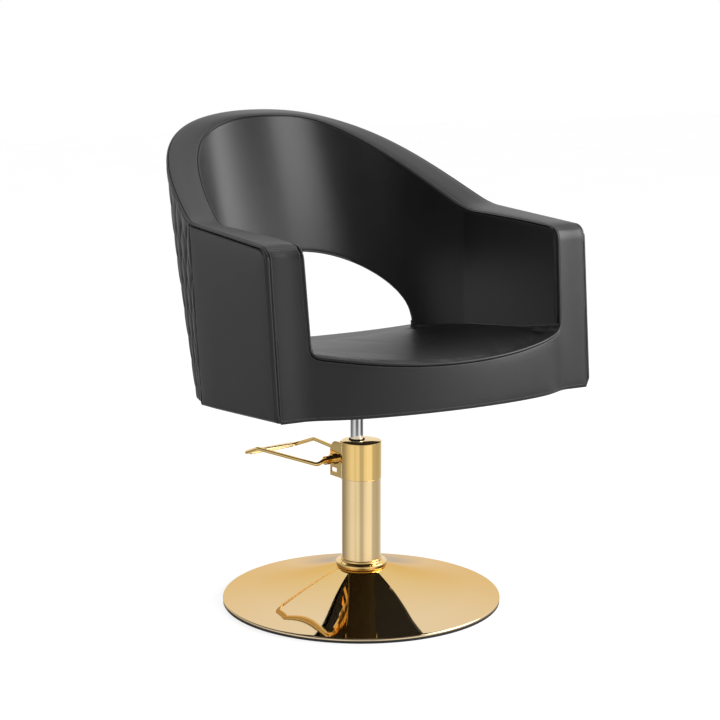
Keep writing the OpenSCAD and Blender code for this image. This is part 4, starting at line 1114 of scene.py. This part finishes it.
def base_cover():
    s = np.linspace(1, COVER_R / (BASE_R - CROWN_R) * 0.8, 110)
    r = lerp(BASE_R, CROWN_R, s)
    z = RIM_TOP + (CROWN_Z - RIM_TOP) * (FLARE_CONE * s + (1 - FLARE_CONE) * s ** FLARE_POWER)
    slope = math.degrees(math.atan2(z[-2] - z[-1], r[-1] - r[-2]))
    rim = arc((BASE_R - COVER_R, z[-1] - COVER_R), COVER_R, 90 - slope, 0, 10)
    shift = r[-1] - rim[0][0]
    lip = [(min(BASE_R, x + shift), h - rim[0][1] + z[-1]) for x, h in rim]
    foot = [(BASE_R, RIM_LOW + 0.3), (BASE_R - 0.2, RIM_LOW)]
    foot += [(BASE_R - SHEET + 0.2, RIM_LOW), (BASE_R - SHEET, RIM_LOW + 1.4)]
    line = [(TUBE_R + TUBE_GAP, CROWN_Z)] + list(zip(r, z)) + lip[1:] + foot
    return mesh_piece("base_trumpet", [turned(line) / 1000], "gold_base", "base", ("base_cover",),
                      70)


def flange():
    low, top, inside = CROWN_Z, CROWN_Z + FLANGE_H, TUBE_R + TUBE_GAP
    line = [(inside, low), (FLANGE_R - 0.5, low)]
    line += arc((FLANGE_R, low + FLANGE_ROUND), FLANGE_ROUND, -90, 0)
    line += arc((FLANGE_R, top - FLANGE_ROUND), FLANGE_ROUND, 0, 75)
    line += arc((44.5, top + 3.2), 2.5, 250, 180, 5) + arc((40.9, top + 4.9), 1.1, 0, 90, 5)
    line += [(inside, top + 6), (inside, low)]
    return mesh_piece("flange_turned", [turned(line) / 1000], "gold_polished", "base", ("flange_ring",))


def column_tube():
    bore = TUBE_R - TUBE_WALL
    line = [(bore, TUBE_LOW), (TUBE_R, TUBE_LOW), (TUBE_R, CROWN_Z + 14), (TUBE_R, TUBE_TOP)]
    line += [(bore, TUBE_TOP), (bore, TUBE_LOW)]
    return mesh_piece("column_tube", [turned(line) / 1000], "gold_pale", "base", ("pump_tube",), sharp=40)


def collar():
    """Sleeve with a top plate round the rod and the lever's window at the back."""
    def angles(radius):
        end, start = [WINDOW_TURN - math.degrees(math.asin(w / radius)) for w in WINDOW_SPAN]
        return np.radians(np.linspace(start, end, 13)), np.radians(np.linspace(end, start + 360, 200))

    low, high, cap = WINDOW_LOW, WINDOW_HIGH, COLLAR_TOP - COLLAR_CAP
    foot = TUBE_TOP + COLLAR_GAP
    outer = [[(COLLAR_R - 0.4, foot), (COLLAR_R, foot + 0.4), (COLLAR_R, foot + 0.8), (COLLAR_R, low)],
             [(COLLAR_R, low), (COLLAR_R, high)],
             [(COLLAR_R, high), (COLLAR_R, COLLAR_TOP - 1.4), (COLLAR_R, COLLAR_TOP - 1.0)]
             + arc((COLLAR_R - 0.6, COLLAR_TOP - 0.6), 0.6, 0, 90, 4)]
    inner = [[(COLLAR_IN, foot), (COLLAR_IN, low)], [(COLLAR_IN, low), (COLLAR_IN, high)],
             [(COLLAR_IN, high), (COLLAR_IN, cap)]]
    out_in, out_rest = angles(COLLAR_R)
    in_in, in_rest = angles(COLLAR_IN)
    patches = []
    for k in range(3):
        patches += [turned(outer[k], out_rest), turned(inner[k], in_rest)]
        if k != 1:
            patches += [turned(outer[k], out_in), turned(inner[k], in_in)]
    for z in (low, high):
        patches.append(np.concatenate([turned([(COLLAR_R, z)], out_in), turned([(COLLAR_IN, z)], in_in)]))
    for k in (0, -1):
        patches.append(np.stack([turned([(COLLAR_R, low), (COLLAR_R, high)], out_in[[k]])[:, 0],
                                 turned([(COLLAR_IN, low), (COLLAR_IN, high)], in_in[[k]])[:, 0]]))
    for out_a, in_a in ((out_in, in_in), (out_rest, in_rest)):
        hole = turned([(ROD_HOLE_R, COLLAR_TOP), (ROD_HOLE_R, cap)], out_a)
        hole = hole + np.array([-ROD_OFF * math.sin(TURN), ROD_OFF * math.cos(TURN), 0])
        top = [turned([outer[2][-1]], out_a), hole, turned([(COLLAR_IN, cap)], in_a)]
        patches.append(np.concatenate(top))
        patches.append(np.concatenate([turned([outer[0][0]], out_a), turned([inner[0][0]], in_a)]))
    return mesh_piece("collar_sleeve", [p / 1000 for p in patches], "gold_polished", "base",
                      ("pump_collar",), sharp=40, merge=2e-5)


base_cover()
flange()
column_tube()
collar()

# Floor, background and light

FLOOR, FLOOR_Z = 12.0, -0.0005
floor_mesh = bpy.data.meshes.new("floor")
corners = [(FLOOR * x, FLOOR * y, FLOOR_Z) for x, y in ((-1, -1), (1, -1), (1, 1), (-1, 1))]
floor_mesh.from_pydata(corners, [], [(0, 1, 2, 3)])
floor = bpy.data.objects.new("floor", floor_mesh)
scene.collection.objects.link(floor)


def floor_material():
    """Pale floor: the camera sees it white with the object's shadow and a faint gloss."""
    s = Shader("floor")
    s.put(Base_Color=s.blend(s.noise(3), (0.34, 0.34, 0.34), (0.36, 0.36, 0.36), 0.4, 0.6), Roughness=0.8)
    s.put(Emission_Color=(1, 1, 1, 1), Emission_Strength=0.84, Specular_IOR_Level=0.0)
    gloss = s.node("ShaderNodeBsdfGlossy", Roughness=0.10, Color=(1, 1, 1, 1))
    matte = s.node("ShaderNodeBsdfDiffuse", Color=(0.8, 0.8, 0.8, 1))
    path = s.node("ShaderNodeLightPath")
    by_eye = s.either(path.outputs["Is Camera Ray"], matte, s.either(0.07, s.bsdf, gloss))
    clear = s.node("ShaderNodeBsdfTransparent")
    seen = s.either(path.outputs["Is Glossy Ray"], by_eye, clear)
    s.feed(s.tree.nodes["Material Output"].inputs[0], seen.outputs[0])
    return s.mat


floor_mesh.materials.append(floor_material())

# What polished metal mirrors: soft boxes left and right, with dimmer gaps between them, and
# narrower strips higher up. Each pair is an angle in degrees to the right, and a brightness
STUDIO = ((-180, 0.9), (-160, 0.9), (-140, 0.26), (-124, 0.32), (-106, 0.40), (-89, 0.58), (-74, 0.74),
          (-60, 0.88), (-44, 0.88), (-35, 0.74), (-24, 0.90), (-13, 0.86), (-6, 0.58), (10, 0.58),
          (17, 0.86), (35, 1.0), (61, 1.0), (69, 0.60), (89, 0.55), (110, 0.50), (128, 0.58),
          (152, 0.74), (165, 0.9), (180, 0.9))
STRIPS = ((-180, 0.6), (-150, 0.6), (-130, 0.20), (-112, 0.16), (-86, 0.22), (-63, 0.46), (-43, 0.88),
          (-25, 0.58), (-8, 0.16), (11, 0.06), (29, 0.45), (45, 1.0), (60, 0.85), (74, 0.22), (90, 0.04),
          (104, 0.08), (124, 0.25), (150, 0.6), (180, 0.6))
UPPER = ((-180, 0.92), (-150, 0.92), (-126, 0.14), (-90, 0.10), (0, 0.10), (60, 0.14), (86, 0.30),
         (102, 1.0), (135, 1.0), (160, 0.92), (180, 0.92))
CAMERA_SIDE = -119.7


def studio_world():
    world = bpy.data.worlds.new("studio")
    scene.world = world
    world.use_nodes = True
    w = Nodes(world.node_tree)
    w.tree.nodes.clear()
    way = w.node("ShaderNodeTexCoord").outputs["Generated"]
    facing = w.node("ShaderNodeMapping", Rotation=(0, 0, math.radians(-CAMERA_SIDE)), Vector=way)
    around = w.node("ShaderNodeTexGradient", Vector=facing.outputs[0])
    around.gradient_type = "RADIAL"
    height = w.node("ShaderNodeSeparateXYZ", Vector=way).outputs["Z"]

    def bands(pairs):
        made = w.node("ShaderNodeValToRGB", Fac=around.outputs["Fac"])
        stops = made.color_ramp.elements
        stops[0].position, stops[1].position = 0, 1
        for angle, _ in pairs[1:-1]:
            stops.new(0.5 + angle / 360)
        for stop, (_, level) in zip(stops, pairs):
            stop.color = (level, level, level, 1)
        return made.outputs["Color"]

    def over(level, low, high, tone):
        """Blend from level to tone as the direction's height goes from low to high."""
        return w.mix(w.span(height, 0.0, 1.0, low, high), level, tone)

    level = over(bands(STUDIO), -0.2345, -0.2315, bands(STRIPS))
    level = over(level, -0.17, -0.05, (0.92, 0.92, 0.92, 1))
    level = over(level, 0.12, 0.32, bands(UPPER))
    level = over(level, -0.50, -0.85, (0.55, 0.55, 0.55, 1))
    mirrored = w.node("ShaderNodeBackground", Color=level)
    soft = w.node("ShaderNodeBackground", Color=(1, 1, 1, 1), Strength=0.45)
    white = w.node("ShaderNodeBackground", Color=(1, 1, 1, 1))
    path = w.node("ShaderNodeLightPath").outputs
    glossy = w.math("MAXIMUM", path["Is Glossy Ray"], path["Is Transmission Ray"])
    seen = w.either(path["Is Camera Ray"], w.either(glossy, soft, mirrored), white)
    w.node("ShaderNodeOutputWorld", Surface=seen.outputs[0])


studio_world()


def area_light(name, where, aim, size, power):
    data = bpy.data.lights.new(name, "AREA")
    data.energy = power
    data.size = size
    made = bpy.data.objects.new(name, data)
    scene.collection.objects.link(made)
    made.location = where
    made.rotation_euler = (Vector(aim) - Vector(where)).to_track_quat("-Z", "Y").to_euler()


area_light("key", (2.76, -1.6, 2.3), (0, 0, 0.75), 2.9, 135)
area_light("front", (1.9, -2.7, 0.9), (0, 0, 0.6), 1.7, 7)
area_light("top", (-0.3, -0.2, 3.2), (0, 0, 0.6), 2.0, 10)
